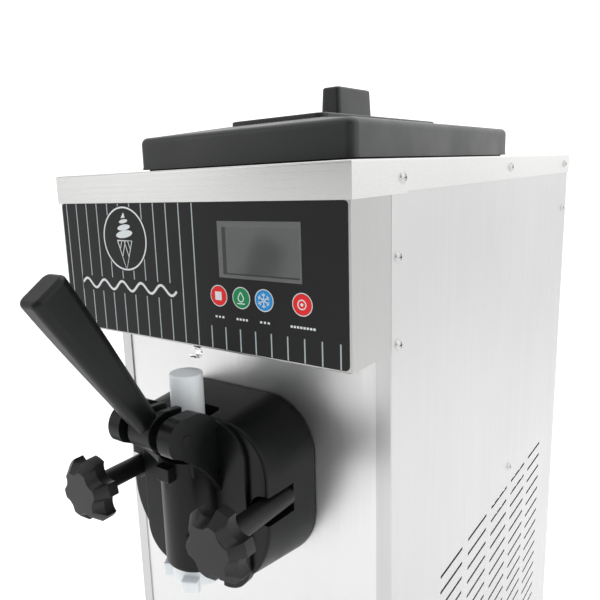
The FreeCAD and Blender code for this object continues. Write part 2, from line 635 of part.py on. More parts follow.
def hopper_lid():
    """Moulded lid: skirt with a round shoulder, shallow dome, raised plateau and grip."""
    skirt, dome = lid_solid(0.0, LID_BOTTOM)
    top = LID_BOTTOM + LID_RISE
    front = HOPPER_FRONT - FLANGE + PLATEAU_INSET
    back = HOPPER_BACK + FLANGE - PLATEAU_INSET
    plateau = rounded("z", top - 3, top + PLATEAU_RISE, -PLATEAU_HALF, PLATEAU_HALF, front, back, 8.0)
    plateau = soften(plateau, 1.5, lambda e: abs(e.CenterOfMass.z - top - PLATEAU_RISE) < 0.01)
    half = HOPPER_HALF + FLANGE + LID_OVERHANG + 0.5
    rim = rounded("z", LID_BOTTOM, LID_BOTTOM + 1.6, -half, half,
                  HOPPER_FRONT - FLANGE - LID_OVERHANG - 0.5,
                  HOPPER_BACK + FLANGE + LID_OVERHANG + 0.5, LID_CORNER + 0.5)
    grip = lid_grip(top, top + PLATEAU_RISE + GRIP_RISE)
    hollow = fuse(list(lid_solid(LID_WALL, LID_BOTTOM - 1)))
    return cut(fuse([skirt, dome, rim, plateau, grip]), [hollow])


def air_feed_tube():
    """Metering tube that stands in the tank's outlet."""
    low = BODY_TOP - HOPPER_DEPTH
    y = feed_place()
    tube = ring("z", 0, y, FEED_RADIUS - 2.3, 4.5, low - 6, BODY_TOP - 18)
    collar = ring("z", 0, y, FEED_RADIUS + 3.0, 4.5, low + SHEET, low + SHEET + 5)
    inlet = rod("x", y, low + 16, 2.0, -20, 20)
    return cut(fuse([tube, collar]), [inlet])


def feed_pipe():
    """Neck from the tank's outlet to the freezing cylinder."""
    low = BODY_TOP - HOPPER_DEPTH
    y = feed_place()
    tube = ring("z", 0, y, FEED_RADIUS + 2.0, FEED_RADIUS - 2.0, AXIS_Z, low)
    return tube.cut(rod("y", 0, AXIS_Z, CYLINDER_OUTER, INNER_FRONT, CYLINDER_BACK))


# ---- freezing cylinder ----


def freezing_cylinder():
    """Barrel with a mounting flange, a closed back and the shaft's bearing bore."""
    low = PLATE_Y - 0.4
    barrel = ring("y", 0, AXIS_Z, CYLINDER_OUTER, BORE_RADIUS, low, CYLINDER_BACK - 4)
    back = rod("y", 0, AXIS_Z, CYLINDER_OUTER, CYLINDER_BACK - 4, CYLINDER_BACK)
    flange = rounded("y", INNER_FRONT, INNER_FRONT + 5, -DOOR_HALF + 1, DOOR_HALF - 1,
                     AXIS_Z - DECK_DROP, AXIS_Z + DOOR_UP - 1, 12.0)
    holes = [rod("y", 0, AXIS_Z, BORE_RADIUS, low - 1, CYLINDER_BACK - 4),
             rod("y", 0, AXIS_Z, SHAFT_RADIUS + 6, CYLINDER_BACK - 5, CYLINDER_BACK + 1),
             rod("z", 0, feed_place(), FEED_RADIUS - 2.0, AXIS_Z, AXIS_Z + CYLINDER_OUTER + 5)]
    for x in (-STUD_SPREAD, STUD_SPREAD):
        holes.append(rod("y", x, AXIS_Z, STUD_RADIUS, INNER_FRONT - 1, INNER_FRONT + 6))
    return cut(fuse([barrel, back, flange]), holes)


def coil_rings():
    first = feed_place() + FEED_RADIUS + 10
    last = CYLINDER_BACK - 14
    count = int((last - first) // 14) + 1
    return [first + number * 14 for number in range(count)]


def evaporator_coil():
    """Turns of copper tube round the barrel, joined by a header along the side."""
    radius = CYLINDER_OUTER + COIL_RADIUS + 0.2
    turns = [Part.makeTorus(radius, COIL_RADIUS, Vector(0, y, AXIS_Z), AXES["y"]) for y in coil_rings()]
    header = rod("y", -radius - 3, AXIS_Z, COIL_RADIUS + 1, coil_rings()[0], coil_rings()[-1])
    return fuse([header] + turns)


def insulation():
    """Foam block round the barrel and its coil."""
    half = CYLINDER_OUTER + 2 * COIL_RADIUS + 16
    front = INNER_FRONT + 5
    block = box(-half, half, front, CYLINDER_BACK, DECK_Z, AXIS_Z + half)
    tunnel = rod("y", 0, AXIS_Z, CYLINDER_OUTER + 2 * COIL_RADIUS + 1,
                 coil_rings()[0] - 6, CYLINDER_BACK + 1)
    mouth = rod("y", 0, AXIS_Z, CYLINDER_OUTER, front - 1, CYLINDER_BACK)
    neck = rod("z", 0, feed_place(), FEED_RADIUS + 2.0, AXIS_Z, AXIS_Z + half + 1)
    channel = box(-half - 1, -CYLINDER_OUTER, coil_rings()[0] - 8, coil_rings()[-1] + 8,
                  AXIS_Z - COIL_RADIUS - 3, AXIS_Z + COIL_RADIUS + 3)
    return cut(block, [tunnel, mouth, neck, channel])


# ---- beater and drive ----
def beater():
    """Dasher: front spigot, three spiders, two bars and the drive shaft."""
    start = INNER_FRONT + 14
    end = CYLINDER_BACK - 14
    pieces = [rod("y", 0, AXIS_Z, SHAFT_RADIUS, end, CYLINDER_BACK + 18),
              rod("y", 0, AXIS_Z, 6.0, start - 8, start)]
    reach = BORE_RADIUS - 9
    middle = (start + end) / 2
    for y in (start, middle, end - 6):
        pieces.append(rounded("y", y, y + 6, -reach, reach, AXIS_Z - 7, AXIS_Z + 7, 6.0))
        pieces.append(rod("y", 0, AXIS_Z, 13.0, y, y + 6))
    for way in (-1, 1):
        x0, x1 = sorted((way * reach, way * (reach - 7)))
        pieces.append(box(x0, x1, start, end, AXIS_Z - 5, AXIS_Z + 5))
    return fuse(pieces)


def scraper_blades():
    """Two plastic blades that wipe the barrel, clipped on the beater's bars."""
    start = INNER_FRONT + 24
    end = CYLINDER_BACK - 24
    blades = []
    reach = BORE_RADIUS - 9
    for way in (-1, 1):
        x0, x1 = sorted((way * reach, way * (reach + 6.5)))
        blades.append(box(x0, x1, start, end, AXIS_Z - 4, AXIS_Z + 3))
    return Part.makeCompound(blades)


def shaft_seal():
    """Cup seal and bearing in the cylinder's rear bore."""
    return ring("y", 0, AXIS_Z, SHAFT_RADIUS + 6, SHAFT_RADIUS + RUN, CYLINDER_BACK - 4, CYLINDER_BACK)


def gearbox():
    """Reduction gearbox behind the cylinder, bolted to the deck."""
    low = CYLINDER_BACK + 2
    case = rounded("y", low, GEARBOX_BACK, -46, 46, AXIS_Z - 46, AXIS_Z + 46, 14.0)
    foot = box(-52, 52, low + 4, GEARBOX_BACK - 4, DECK_Z, AXIS_Z - 44)
    socket = rod("y", 0, AXIS_Z, SHAFT_RADIUS + RUN, low - 1, CYLINDER_BACK + 20)
    input_bore = rod("y", 0, AXIS_Z, 6.0 + RUN, GEARBOX_BACK - 12, GEARBOX_BACK + 1)
    room = rod("y", 0, AXIS_Z, 38.0, CYLINDER_BACK + 26, GEARBOX_BACK - 18)
    return cut(fuse([case, foot]), [socket, input_bore, room])


def grooved_pulley(z, radius, bore_from, shaft_radius):
    """V-belt pulley with its shaft."""
    half = 9.0
    disc = rod("y", 0, z, radius, BELT_Y - half, BELT_Y + half)
    rim = z + radius + 0.1
    root = z + radius - 8
    groove = Part.makePolygon([Vector(0, BELT_Y - 5.5, rim), Vector(0, BELT_Y + 5.5, rim),
                               Vector(0, BELT_Y + 3.0, root), Vector(0, BELT_Y - 3.0, root),
                               Vector(0, BELT_Y - 5.5, z + radius + 0.1)])
    tool = Part.Face(groove).revolve(Vector(0, 0, z), AXES["y"], 360)
    shaft = rod("y", 0, z, shaft_radius, bore_from, BELT_Y + half + 6)
    return disc.cut(tool).fuse(shaft).removeSplitter()


def gearbox_pulley():
    return grooved_pulley(AXIS_Z, PULLEY_RADIUS, GEARBOX_BACK - 11, 6.0)


def motor_pulley():
    return grooved_pulley(MOTOR_Z, MOTOR_PULLEY_RADIUS, motor_back() - 11, 6.0)


def belt_outline(inset, low, high):
    """The belt's loop round both pulleys: two discs and the quadrilateral between tangents."""
    big = PULLEY_RADIUS - inset
    small = MOTOR_PULLEY_RADIUS - inset
    slope = math.asin((big - small) / BELT_DROP)
    across = math.cos(slope)
    drop = math.sin(slope)
    sides = [(-big * across, AXIS_Z - big * drop), (big * across, AXIS_Z - big * drop),
             (small * across, MOTOR_Z - small * drop), (-small * across, MOTOR_Z - small * drop)]
    return fuse([rod("y", 0, AXIS_Z, big, low, high), rod("y", 0, MOTOR_Z, small, low, high),
                 prism("y", low, high, sides)])


def v_belt():
    """V-belt, drawn in one place, clear of the grooves it runs in."""
    low = BELT_Y - 2.4
    high = BELT_Y + 2.4
    return belt_outline(0.5, low, high).cut(belt_outline(6.5, low - 1, high + 1))


def motor_back():
    return BELT_Y - 14.0


def beater_motor():
    """Beater motor, hung below the deck on a bracket."""
    back = motor_back()
    front = back - MOTOR_LENGTH
    can = rod("y", 0, MOTOR_Z, MOTOR_RADIUS, front, back)
    can = soften(can, 6.0, lambda e: e.Length > 200)
    ribs = [ring("y", 0, MOTOR_Z, MOTOR_RADIUS + 2, MOTOR_RADIUS - 1,
                 front + 22 + 10 * n, front + 26 + 10 * n)
            for n in range(7)]
    plates = [box(x, x + 6, front + 30, back - 30, MOTOR_Z + MOTOR_RADIUS - 16, DECK_Z - 2)
              for x in (-30, 24)]
    room = rod("y", 0, MOTOR_Z, MOTOR_RADIUS * 0.6, front + 14, back - 16)
    bore = rod("y", 0, MOTOR_Z, 6.0 + RUN, back - 12, back + 1)
    return cut(fuse([can] + plates + ribs), [bore, room])


# ---- valve door ----
def door_block():
    """Clamp block: round corners, larger below, and a slight draft towards the front."""
    back = FRONT_Y
    low = AXIS_Z - DOOR_DOWN
    high = AXIS_Z + DOOR_UP
    face = back - DOOR_DEPTH
    half = DOOR_HALF - DOOR_TAPER
    front_wire = rounded_wire("y", face, -half, half, low - 1, high - DOOR_TAPER - 1.3, DOOR_CORNER - 3,
                              DOOR_LOW_CORNER + 12)
    back_wire = rounded_wire("y", back, -DOOR_HALF, DOOR_HALF, low, high, DOOR_CORNER, DOOR_LOW_CORNER)
    block = loft([front_wire, back_wire])
    band = rounded("y", face - BAND_RISE, face + 4, -BAND_HALF, BAND_HALF,
                   low + 1, high - DOOR_TAPER - 2, 26.0)
    band = soften(band, 1.0, lambda e: abs(e.CenterOfMass.y - face + BAND_RISE) < 0.01)
    return [soften(block, 2.5, lambda e: abs(e.CenterOfMass.y - face) < 0.01), band]


def freezing_door():
    """Moulded door: clamp block, valve barrel, lever ears and the channels for its knobs."""
    back = FRONT_Y
    face = back - DOOR_DEPTH
    barrel = rod("z", 0, PLUNGER_Y, BOSS_RADIUS, BOSS_BOTTOM, BOSS_TOP)
    barrel = soften(barrel, 3.5, lambda e: abs(e.CenterOfMass.z - BOSS_BOTTOM) < 0.01)
    cradle = box(-EAR_INNER, EAR_INNER, PLUNGER_Y - 18, face + 2, AXIS_Z + 19, AXIS_Z + 42)
    cradle = soften(cradle, 3.0, lambda e: abs(e.CenterOfMass.y - PLUNGER_Y + 18) < 0.01)
    lug = box(-6.3, 6.3, PLUNGER_Y - 31.5, PLUNGER_Y - 18, AXIS_Z + 18, AXIS_Z + 29)
    lug = soften(lug, 0.8, lambda e: e.CenterOfMass.y < PLUNGER_Y - 31)
    spigot = rod("y", 0, AXIS_Z, BORE_RADIUS - 0.4, back - 1, back + 8)
    ears = [ear(way) for way in (-1, 1)]
    body = fuse(door_block() + [barrel, cradle, lug, spigot] + ears)
    return cut(body, door_cuts())


def ear(way):
    """Ear that carries the lever's pin: round nose, arched underside, dished cheek."""
    x0, x1 = sorted((way * EAR_INNER, way * EAR_OUTER))
    face = FRONT_Y - DOOR_DEPTH
    top = PIN_Z + EAR_RADIUS - 1.0

    def at(y, z):
        return Vector(x0, y, z)

    root_low = AXIS_Z + 6.0
    root_high = AXIS_Z + DOOR_UP - 12
    corner = at(PIN_Y - 13.5, PIN_Z - 8.0)
    edges = [
        Part.Arc(at(face, root_high), at(face - 10, top - 7.5), at(face - 24, top)).toShape(),
        Part.makeLine(at(face - 24, top), at(PIN_Y, top)),
        Part.Arc(at(PIN_Y, top), at(PIN_Y - EAR_RADIUS, PIN_Z + 0.5), corner).toShape(),
        Part.Arc(corner, at(face - 24.5, PIN_Z - 25.0), at(face - 3, root_low)).toShape(),
        Part.makeLine(at(face - 3, root_low), at(face + 8, root_low)),
        Part.makeLine(at(face + 8, root_low), at(face + 8, root_high)),
        Part.makeLine(at(face + 8, root_high), at(face, root_high)),
    ]
    cheek = Part.Face(Part.Wire(edges)).extrude(Vector(x1 - x0, 0, 0))
    d0, d1 = sorted((way * (EAR_OUTER - 1.6), way * (EAR_OUTER + 1)))
    dish = prism("x", d0, d1, [(PIN_Y + 6, PIN_Z - 9), (face - 7, PIN_Z - 1),
                               (face - BAND_RISE - 1, PIN_Z - 2),
                               (face - BAND_RISE - 1, root_low + 14), (face - 12, PIN_Z - 33),
                               (face - 22, PIN_Z - 20)])
    return cheek.cut(dish)


def door_cuts():
    """Everything taken out of the door's body."""
    back = FRONT_Y
    face = back - DOOR_DEPTH
    wall = back - FLANGE_DEPTH
    half = CHANNEL_HEIGHT / 2
    start = face - BAND_RISE - 1
    cuts = []
    for way in (-1, 1):
        x0, x1 = sorted((way * STUD_SPREAD, way * (DOOR_HALF + 5)))
        cuts.append(box(x0, x1, start, wall, AXIS_Z - half, AXIS_Z + half))
        cuts.append(rod("y", way * STUD_SPREAD, AXIS_Z, half, start, wall))
        cuts.append(rod("y", way * STUD_SPREAD, AXIS_Z, STUD_RADIUS + 0.4, wall - 1, back + 1))
    bore = PLUNGER_RADIUS + RUN
    cuts.append(rod("z", 0, PLUNGER_Y, bore, BOSS_BOTTOM - 1, BODY_TOP))
    cuts.append(rounded("z", AXIS_Z + 42, BODY_TOP, -PLUNGER_RADIUS - 5, PLUNGER_RADIUS + 5,
                        PLUNGER_Y - 40, PLUNGER_Y + PLUNGER_RADIUS + 6, 5.0))
    cuts.append(rod("y", 0, AXIS_Z - PORT_DROP, PORT_RADIUS, PLUNGER_Y, back + 9))
    cuts.append(rod("x", PIN_Y, PIN_Z, HUB_RADIUS + 2.0, -EAR_INNER, EAR_INNER))
    cuts.append(rod("x", PIN_Y, PIN_Z, PIN_RADIUS, -EAR_OUTER - 10, EAR_OUTER + 10))
    cuts.append(ring("y", 0, AXIS_Z, BORE_RADIUS + 1, BORE_RADIUS - 3.6, back + 3, back + 6))
    cuts.append(rod("y", 0, AXIS_Z, 14.0, back + 2, back + 9))
    pocket = BOSS_RADIUS - CAP_STEP + TAB_REACH + 0.8
    cuts.append(rod("z", 0, PLUNGER_Y, pocket, BOSS_BOTTOM - CAP_HEIGHT - 12, BOSS_BOTTOM))
    return cuts


def door_seal():
    """O-ring in the groove of the door's spigot."""
    return ring("y", 0, AXIS_Z, BORE_RADIUS - 0.15, BORE_RADIUS - 3.6, FRONT_Y + 3, FRONT_Y + 6)


def front_bush():
    """Bush in the door that carries the beater's front spigot."""
    return ring("y", 0, AXIS_Z, 14.0, 6.0 + 0.3, FRONT_Y + 2, FRONT_Y + 16)


def door_studs():
    """Two studs, screwed in the cylinder's flange."""
    return Part.makeCompound([rod("y", x, AXIS_Z, STUD_RADIUS, KNOB_FRONT + 10, INNER_FRONT + 5)
                              for x in (-STUD_SPREAD, STUD_SPREAD)])


def star_wire(x, y, tip, valley):
    """Outline of a lobed knob: flat-ended lobes joined by hollow arcs."""
    half = math.radians(11.0)
    step = 2 * math.pi / KNOB_LOBES

    def at(radius, angle):
        return Vector(x + radius * math.cos(angle), y, AXIS_Z + radius * math.sin(angle))

    edges = []
    for lobe in range(KNOB_LOBES):
        angle = math.radians(KNOB_TURN) + lobe * step
        left = angle + half
        right = angle + step - half
        edges.append(Part.Arc(at(tip, angle - half), at(tip, angle), at(tip, left)).toShape())
        edges.append(Part.Arc(at(tip, left), at(valley, angle + step / 2), at(tip, right)).toShape())
    return Part.Wire(edges)


def star_knob(x):
    """Lobed hand knob with a long shank that clamps the door's flange."""
    back = KNOB_FRONT + KNOB_THICK
    middle = KNOB_FRONT + KNOB_FLARE
    valley = KNOB_RADIUS * 0.72
    face = star_wire(x, KNOB_FRONT, KNOB_FACE_RADIUS, KNOB_FACE_RADIUS * 0.84)
    flare = loft([face, star_wire(x, middle, KNOB_RADIUS, valley)])
    flare = soften(flare, 0.7, lambda e: abs(e.CenterOfMass.y - KNOB_FRONT) < 0.01)
    rear = Part.Face(star_wire(x, middle, KNOB_RADIUS, valley)).extrude(Vector(0, back - middle, 0))
    rear = soften(rear, 1.0, lambda e: abs(e.CenterOfMass.y - back) < 0.01)
    neck = cone("y", x, AXIS_Z, 12.0, SHANK_RADIUS, back, back + 4)
    shank = rod("y", x, AXIS_Z, SHANK_RADIUS, back, FRONT_Y - FLANGE_DEPTH)
    bore = rod("y", x, AXIS_Z, STUD_RADIUS + RUN, KNOB_FRONT + 8, FRONT_Y)
    return fuse([flare, rear, neck, shank]).cut(bore)


def valve_plunger():
    """Valve rod with a slit for the lever's arm and two seal grooves."""
    low = AXIS_Z + PLUNGER_BOTTOM
    high = AXIS_Z + PLUNGER_TOP
    body = rod("z", 0, PLUNGER_Y, PLUNGER_RADIUS, low, high)
    body = soften(body, 1.2, lambda e: abs(e.CenterOfMass.z - high) < 0.01)
    slit = box(-TONGUE_HALF - 0.5, TONGUE_HALF + 0.5, PLUNGER_Y - PLUNGER_RADIUS - 1,
               PIN_Y + ARM_REACH + TONGUE_HALF + 1.5, SLIT_Z - 7.5, SLIT_Z + 8.5)
    grooves = [ring("z", 0, PLUNGER_Y, PLUNGER_RADIUS + 1, PLUNGER_RADIUS - 2.4, z, z + 3)
               for z in seal_levels()]
    return cut(body, [slit] + grooves)


def seal_levels():
    low = AXIS_Z + PLUNGER_BOTTOM
    return [low + 22, AXIS_Z + 14]


def plunger_seals():
    """Two O-rings on the valve rod."""
    return Part.makeCompound([ring("z", 0, PLUNGER_Y, PLUNGER_RADIUS - 0.05, PLUNGER_RADIUS - 2.4, z, z + 3)
                              for z in seal_levels()])


def nozzle_cap():
    """Star nozzle cap under the valve barrel, with its turning tabs."""
    low = BOSS_BOTTOM - CAP_HEIGHT
    outer = BOSS_RADIUS - CAP_STEP
    cap = rod("z", 0, PLUNGER_Y, outer, low, BOSS_BOTTOM)
    cap = soften(cap, 1.2, lambda e: abs(e.CenterOfMass.z - low) < 0.01)
    hollow = rod("z", 0, PLUNGER_Y, PLUNGER_RADIUS, low + 5, BOSS_BOTTOM + 1)
    star = [rod("z", 0, PLUNGER_Y, 6.5, low - 1, low + 6)]
    for ray in range(6):
        angle = 2 * math.pi * ray / 6
        star.append(rod("z", 7.0 * math.cos(angle), PLUNGER_Y + 7.0 * math.sin(angle), 1.8,
                        low - 1, low + 6))
    tabs = []
    for turn in (298, 208, 118, 28):
        tab = box(outer - 4, outer + TAB_REACH, -6.5, 6.5, low - 1.5, low + 9)
        tab = soften(tab, 1.5, lambda e: e.CenterOfMass.x > outer + TAB_REACH - 0.5)
        tab.rotate(Vector(0, 0, 0), AXES["z"], turn)
        tab.translate(Vector(0, PLUNGER_Y, 0))
        tabs.append(tab)
    return cut(fuse([cap] + tabs), [hollow] + star)


# ---- draw lever ----
def draw_lever():
    """Lever: pin hub, tapered handle, two cheeks and the tongue that lifts the valve rod."""
    hub = rod("x", 0, 0, HUB_RADIUS, HUB_X - HUB_HALF, HUB_X + HUB_HALF)
    hub = soften(hub, 0.8, lambda e: e.Length > 50)
    stations = [(0.0, 9.4, 8.0, 7.4), (0.22, 10.6, 8.6, 7.6), (0.55, 12.6, 9.8, 7.0),
                (0.9, 14.2, 10.4, 6.0), (1.0, 14.4, 10.5, 6.0)]
    wires = [rounded_wire("z", share * HANDLE_LENGTH, HUB_X - thick, HUB_X + thick, -wide, wide, corner)
             for share, wide, thick, corner in stations]
    handle = loft(wires, ruled=False)
    handle = soften(handle, 3.5, lambda e: abs(e.CenterOfMass.z - HANDLE_LENGTH) < 0.01)
    handle.rotate(Vector(0, 0, 0), AXES["x"], HANDLE_TILT)
    reach = PLUNGER_Y - PLUNGER_RADIUS - 1.2 - PIN_Y
    profile = [(-4, HUB_RADIUS - 1.5), (4, 15.0), (reach, 13.5), (reach, 8.0), (reach - 6.0, -5.5), (0, -8.0)]
    cheeks = []
    for x0, x1 in ((HUB_X - HUB_HALF, HUB_X - 5.0), (HUB_X + 5.0, HUB_X + HUB_HALF)):
        cheek = prism("x", x0, x1, profile)
        cheeks.append(soften(cheek, 0.8, lambda e: e.CenterOfMass.z > 10 and e.CenterOfMass.y > 0))
    tongue = box(-TONGUE_HALF, TONGUE_HALF, 9.0, ARM_REACH, -TONGUE_HALF, TONGUE_HALF)
    tip = rod("x", ARM_REACH, 0, TONGUE_HALF, -TONGUE_HALF, TONGUE_HALF)
    lift = fuse([tongue, tip])
    lift.rotate(Vector(0, 0, 0), AXES["x"], -ARM_DROP)
    lever = fuse([hub, handle, lift] + cheeks)
    lever = lever.cut(rod("x", 0, 0, PIN_RADIUS + RUN, -30, 30))
    lever.translate(Vector(0, PIN_Y, PIN_Z))
    return lever


def lever_pin():
    """Headed pin pressed through both ears."""
    shank = rod("x", PIN_Y, PIN_Z, PIN_RADIUS, -EAR_OUTER - 3, EAR_OUTER + 0.5)
    shank = soften(shank, 0.4, lambda e: e.CenterOfMass.x > EAR_OUTER and e.Length > 15)
    head = rod("x", PIN_Y, PIN_Z, PIN_HEAD_RADIUS, -EAR_OUTER - 9, -EAR_OUTER - 2)
    head = soften(head, 2.0, lambda e: e.CenterOfMass.x < -EAR_OUTER - 8 and e.Length > 20)
    return fuse([shank, head])


def pin_spacers():
    """Two sleeves that hold the lever in its place between the ears."""
    return Part.makeCompound([
        ring("x", PIN_Y, PIN_Z, 8.0, PIN_RADIUS, -EAR_INNER, HUB_X - HUB_HALF - FIT),
        ring("x", PIN_Y, PIN_Z, 8.0, PIN_RADIUS, HUB_X + HUB_HALF + FIT, EAR_INNER)])


# ---- cooling unit ----
def compressor_place():
    return (0.0, INNER_FRONT + COMPRESSOR_RADIUS + 28)


def compressor():
    """Hermetic compressor: shell, feet plate and stub pipes."""
    x, y = compressor_place()
    low = PAN_Z + SHEET + 12
    shell = rod("z", x, y, COMPRESSOR_RADIUS, low + 4, low + COMPRESSOR_HEIGHT)
    shell = soften(shell, 26.0, lambda e: e.Length > 200)
    weld = ring("z", x, y, COMPRESSOR_RADIUS + 3, COMPRESSOR_RADIUS - 4, low + 86, low + 92)
    plate = rounded("z", low, low + 3, x - 82, x + 82, y - 56, y + 56, 10.0)
    skirt = rod("z", x, y, 44.0, low + 3, low + 10)
    lugs = [rod("z", a, b, 4.5, low - 1, low + 4) for a, b in mount_places()]
    cover = box(x - 22, x + 22, y - COMPRESSOR_RADIUS - 16, y - COMPRESSOR_RADIUS + 12, low + 36, low + 82)
    room = rod("z", x, y, COMPRESSOR_RADIUS - COMPRESSOR_WALL,
               low + 18, low + COMPRESSOR_HEIGHT - COMPRESSOR_WALL)
    return cut(fuse([shell, weld, plate, skirt, cover]), lugs + [room])


def mount_places():
    x, y = compressor_place()
    return [(x + dx, y + dy) for dx in (-70, 70) for dy in (-44, 44)]


def compressor_mounts():
    """Rubber bushes under the compressor's feet."""
    low = PAN_Z + SHEET
    made = []
    for x, y in mount_places():
        bush = rod("z", x, y, 9.0, low, low + 12).fuse(rod("z", x, y, 4.4, low + 12, low + 15))
        made.append(bush.fuse(rod("z", x, y, 7.0, low + 15.1, low + 18)))
    return Part.makeCompound(made)


def condenser():
    """Finned condenser beside the right-hand slots, with its header tubes."""
    x0 = HALF_INSIDE - 38
    x1 = HALF_INSIDE - 12
    y0 = FAN_Y - 84
    y1 = FAN_Y + 78
    low = PAN_Z + SHEET
    high = FAN_Z + 92
    pieces = [box(x0, x1, y0, y0 + 1.5, low, high), box(x0, x1, y1 - 1.5, y1, low, high)]
    count = 18
    pitch = (y1 - y0 - 6) / (count + 1)
    for number in range(1, count + 1):
        y = y0 + 3 + number * pitch
        pieces.append(box(x0 + 1, x1 - 1, y, y + 1.0, low + 8, high - 4))
    for row in range(6):
        z = low + 26 + row * (high - low - 46) / 5
        for x in (x0 + 8, x1 - 8):
            pieces.append(rod("y", x, z, 4.0, y0 - 4, y1 + 4))
    return fuse(pieces)


def fan_shroud():
    """Plate with the air ring, and three arms that hold the fan motor."""
    x0 = HALF_INSIDE - 58
    x1 = HALF_INSIDE - 39
    half = FAN_RADIUS + 8
    plate = box(x1 - 2, x1, FAN_Y - half, FAN_Y + half, PAN_Z + SHEET, FAN_Z + half)
    duct = ring("x", FAN_Y, FAN_Z, FAN_RADIUS + 5, FAN_RADIUS + 3, x0, x1)
    hole = rod("x", FAN_Y, FAN_Z, FAN_RADIUS + 3, x0 - 1, x1 + 1)
    hub = ring("x", FAN_Y, FAN_Z, 24, FAN_MOTOR_RADIUS, x0 - 14, x0 - 8)
    arms = []
    for number in range(3):
        arm = box(x0 - 14, x0 - 10, FAN_Y - 4, FAN_Y + 4, FAN_Z + 22, FAN_Z + FAN_RADIUS + 5)
        post = box(x0 - 14, x0 + 4, FAN_Y - 4, FAN_Y + 4, FAN_Z + FAN_RADIUS + 3.1, FAN_Z + FAN_RADIUS + 5)
        bracket = arm.fuse(post)
        bracket.rotate(Vector(0, FAN_Y, FAN_Z), AXES["x"], 120 * number)
        arms.append(bracket)
    return fuse([plate.cut(hole), duct, hub] + arms)


def fan_motor():
    """Shaded-pole fan motor with its stub shaft bore."""
    x0 = HALF_INSIDE - 58
    can = rod("x", FAN_Y, FAN_Z, FAN_MOTOR_RADIUS, x0 - 34, x0 - 4)
    can = soften(can, 3.0, lambda e: e.Length > 60)
    return can.cut(rod("x", FAN_Y, FAN_Z, 2.0 + RUN, x0 - 20, x0))


def fan_blade():
    """Five-blade fan with its shaft."""
    x0 = HALF_INSIDE - 58
    hub = rod("x", FAN_Y, FAN_Z, 15, x0 - 1, x0 + 11)
    shaft = rod("x", FAN_Y, FAN_Z, 2.0, x0 - 19, x0)
    blades = []
    for number in range(5):
        blade = box(-1.0, 1.0, -15, 15, 12, FAN_RADIUS - 3)
        blade.rotate(Vector(0, 0, 0), AXES["z"], 24)
        blade.translate(Vector(x0 + 5, FAN_Y, FAN_Z))
        blade.rotate(Vector(0, FAN_Y, FAN_Z), AXES["x"], 72 * number)
        blades.append(blade)
    whole = fuse([hub, shaft] + blades)
    room = rod("x", FAN_Y, FAN_Z, FAN_RADIUS - 2, x0 - 30, x0 + 14)
    return whole.common(room)


def suction_hole():
    return (PIPE_X, motor_back() - MOTOR_LENGTH - 19)


def liquid_hole():
    return (PIPE_X, coil_rings()[0] + 20)


def refrigerant_lines():
    """Discharge, liquid and suction lines between compressor, condenser and evaporator."""
    cx, cy = compressor_place()
    top = PAN_Z + SHEET + 12 + COMPRESSOR_HEIGHT
    header = -CYLINDER_OUTER - 2 * COIL_RADIUS - 4.4
    sy = suction_hole()[1]
    ly = liquid_hole()[1]
    suction = sweep([Vector(header, sy, AXIS_Z), Vector(PIPE_X, sy, AXIS_Z), Vector(PIPE_X, sy, top + 26),
                     Vector(cx - 20, cy, top + 26), Vector(cx - 20, cy, top)], PIPE_RADIUS, 9)
    side = -HALF_INSIDE + 30
    liquid = sweep([Vector(header, ly, AXIS_Z), Vector(PIPE_X, ly, AXIS_Z), Vector(PIPE_X, ly, DECK_Z - 40),
                    Vector(side, ly, DECK_Z - 40), Vector(side, ly, drier_top())], PIPE_RADIUS - 1, 9)
    tube_x = HALF_INSIDE - 30
    tube_y = FAN_Y - 84
    tube_z = PAN_Z + SHEET + 26
    high_z = tube_z + FAN_Z + 92 - PAN_Z - SHEET - 46
    out = sweep([Vector(cx + 22, cy, top), Vector(cx + 22, cy, top + 24),
                 Vector(tube_x - 12, cy, top + 24), Vector(tube_x - 12, cy, high_z),
                 Vector(tube_x - 12, tube_y - 12, high_z)], PIPE_RADIUS, 9)
    return Part.makeCompound([suction, liquid, out])


def drier_top():
    return PAN_Z + 180.0


def filter_drier():
    """Copper filter drier in the liquid line, with its bracket to the pan."""
    x = -HALF_INSIDE + 30
    y = liquid_hole()[1]
    top = drier_top()
    can = rod("z", x, y, 12.0, top - 110, top)
    can = soften(can, 5.0, lambda e: e.Length > 60)
    stem = rod("z", x, y, 4.0, PAN_Z + SHEET, top - 108)
    clamp = box(x - 15, x + 15, y - 3, y + 3, top - 60, top - 52)
    return fuse([can, stem, clamp.cut(rod("z", x, y, 12.0, top - 80, top - 40))])


# ---- drip tray ----
def tray_bracket():
    """Two rails on the front panel that the tray slides on."""
    rails = []
    for way in (-1, 1):
        x0, x1 = sorted((way * (TRAY_HALF - 4), way * (TRAY_HALF - 20)))
        rail = box(x0, x1, PLATE_Y - TRAY_REACH + 22, PLATE_Y, TRAY_Z - 4, TRAY_Z - 1.5)
        plate = box(x0, x1, PLATE_Y - 2.0, PLATE_Y, TRAY_Z - 24, TRAY_Z - 4)
        gusset = prism("x", x0, x0 + 2.5, [(PLATE_Y - 2, TRAY_Z - 4), (PLATE_Y - 2, TRAY_Z - 22),
                                           (PLATE_Y - 60, TRAY_Z - 4)])
        rails.append(fuse([rail, plate, gusset]))
    return Part.makeCompound(rails)


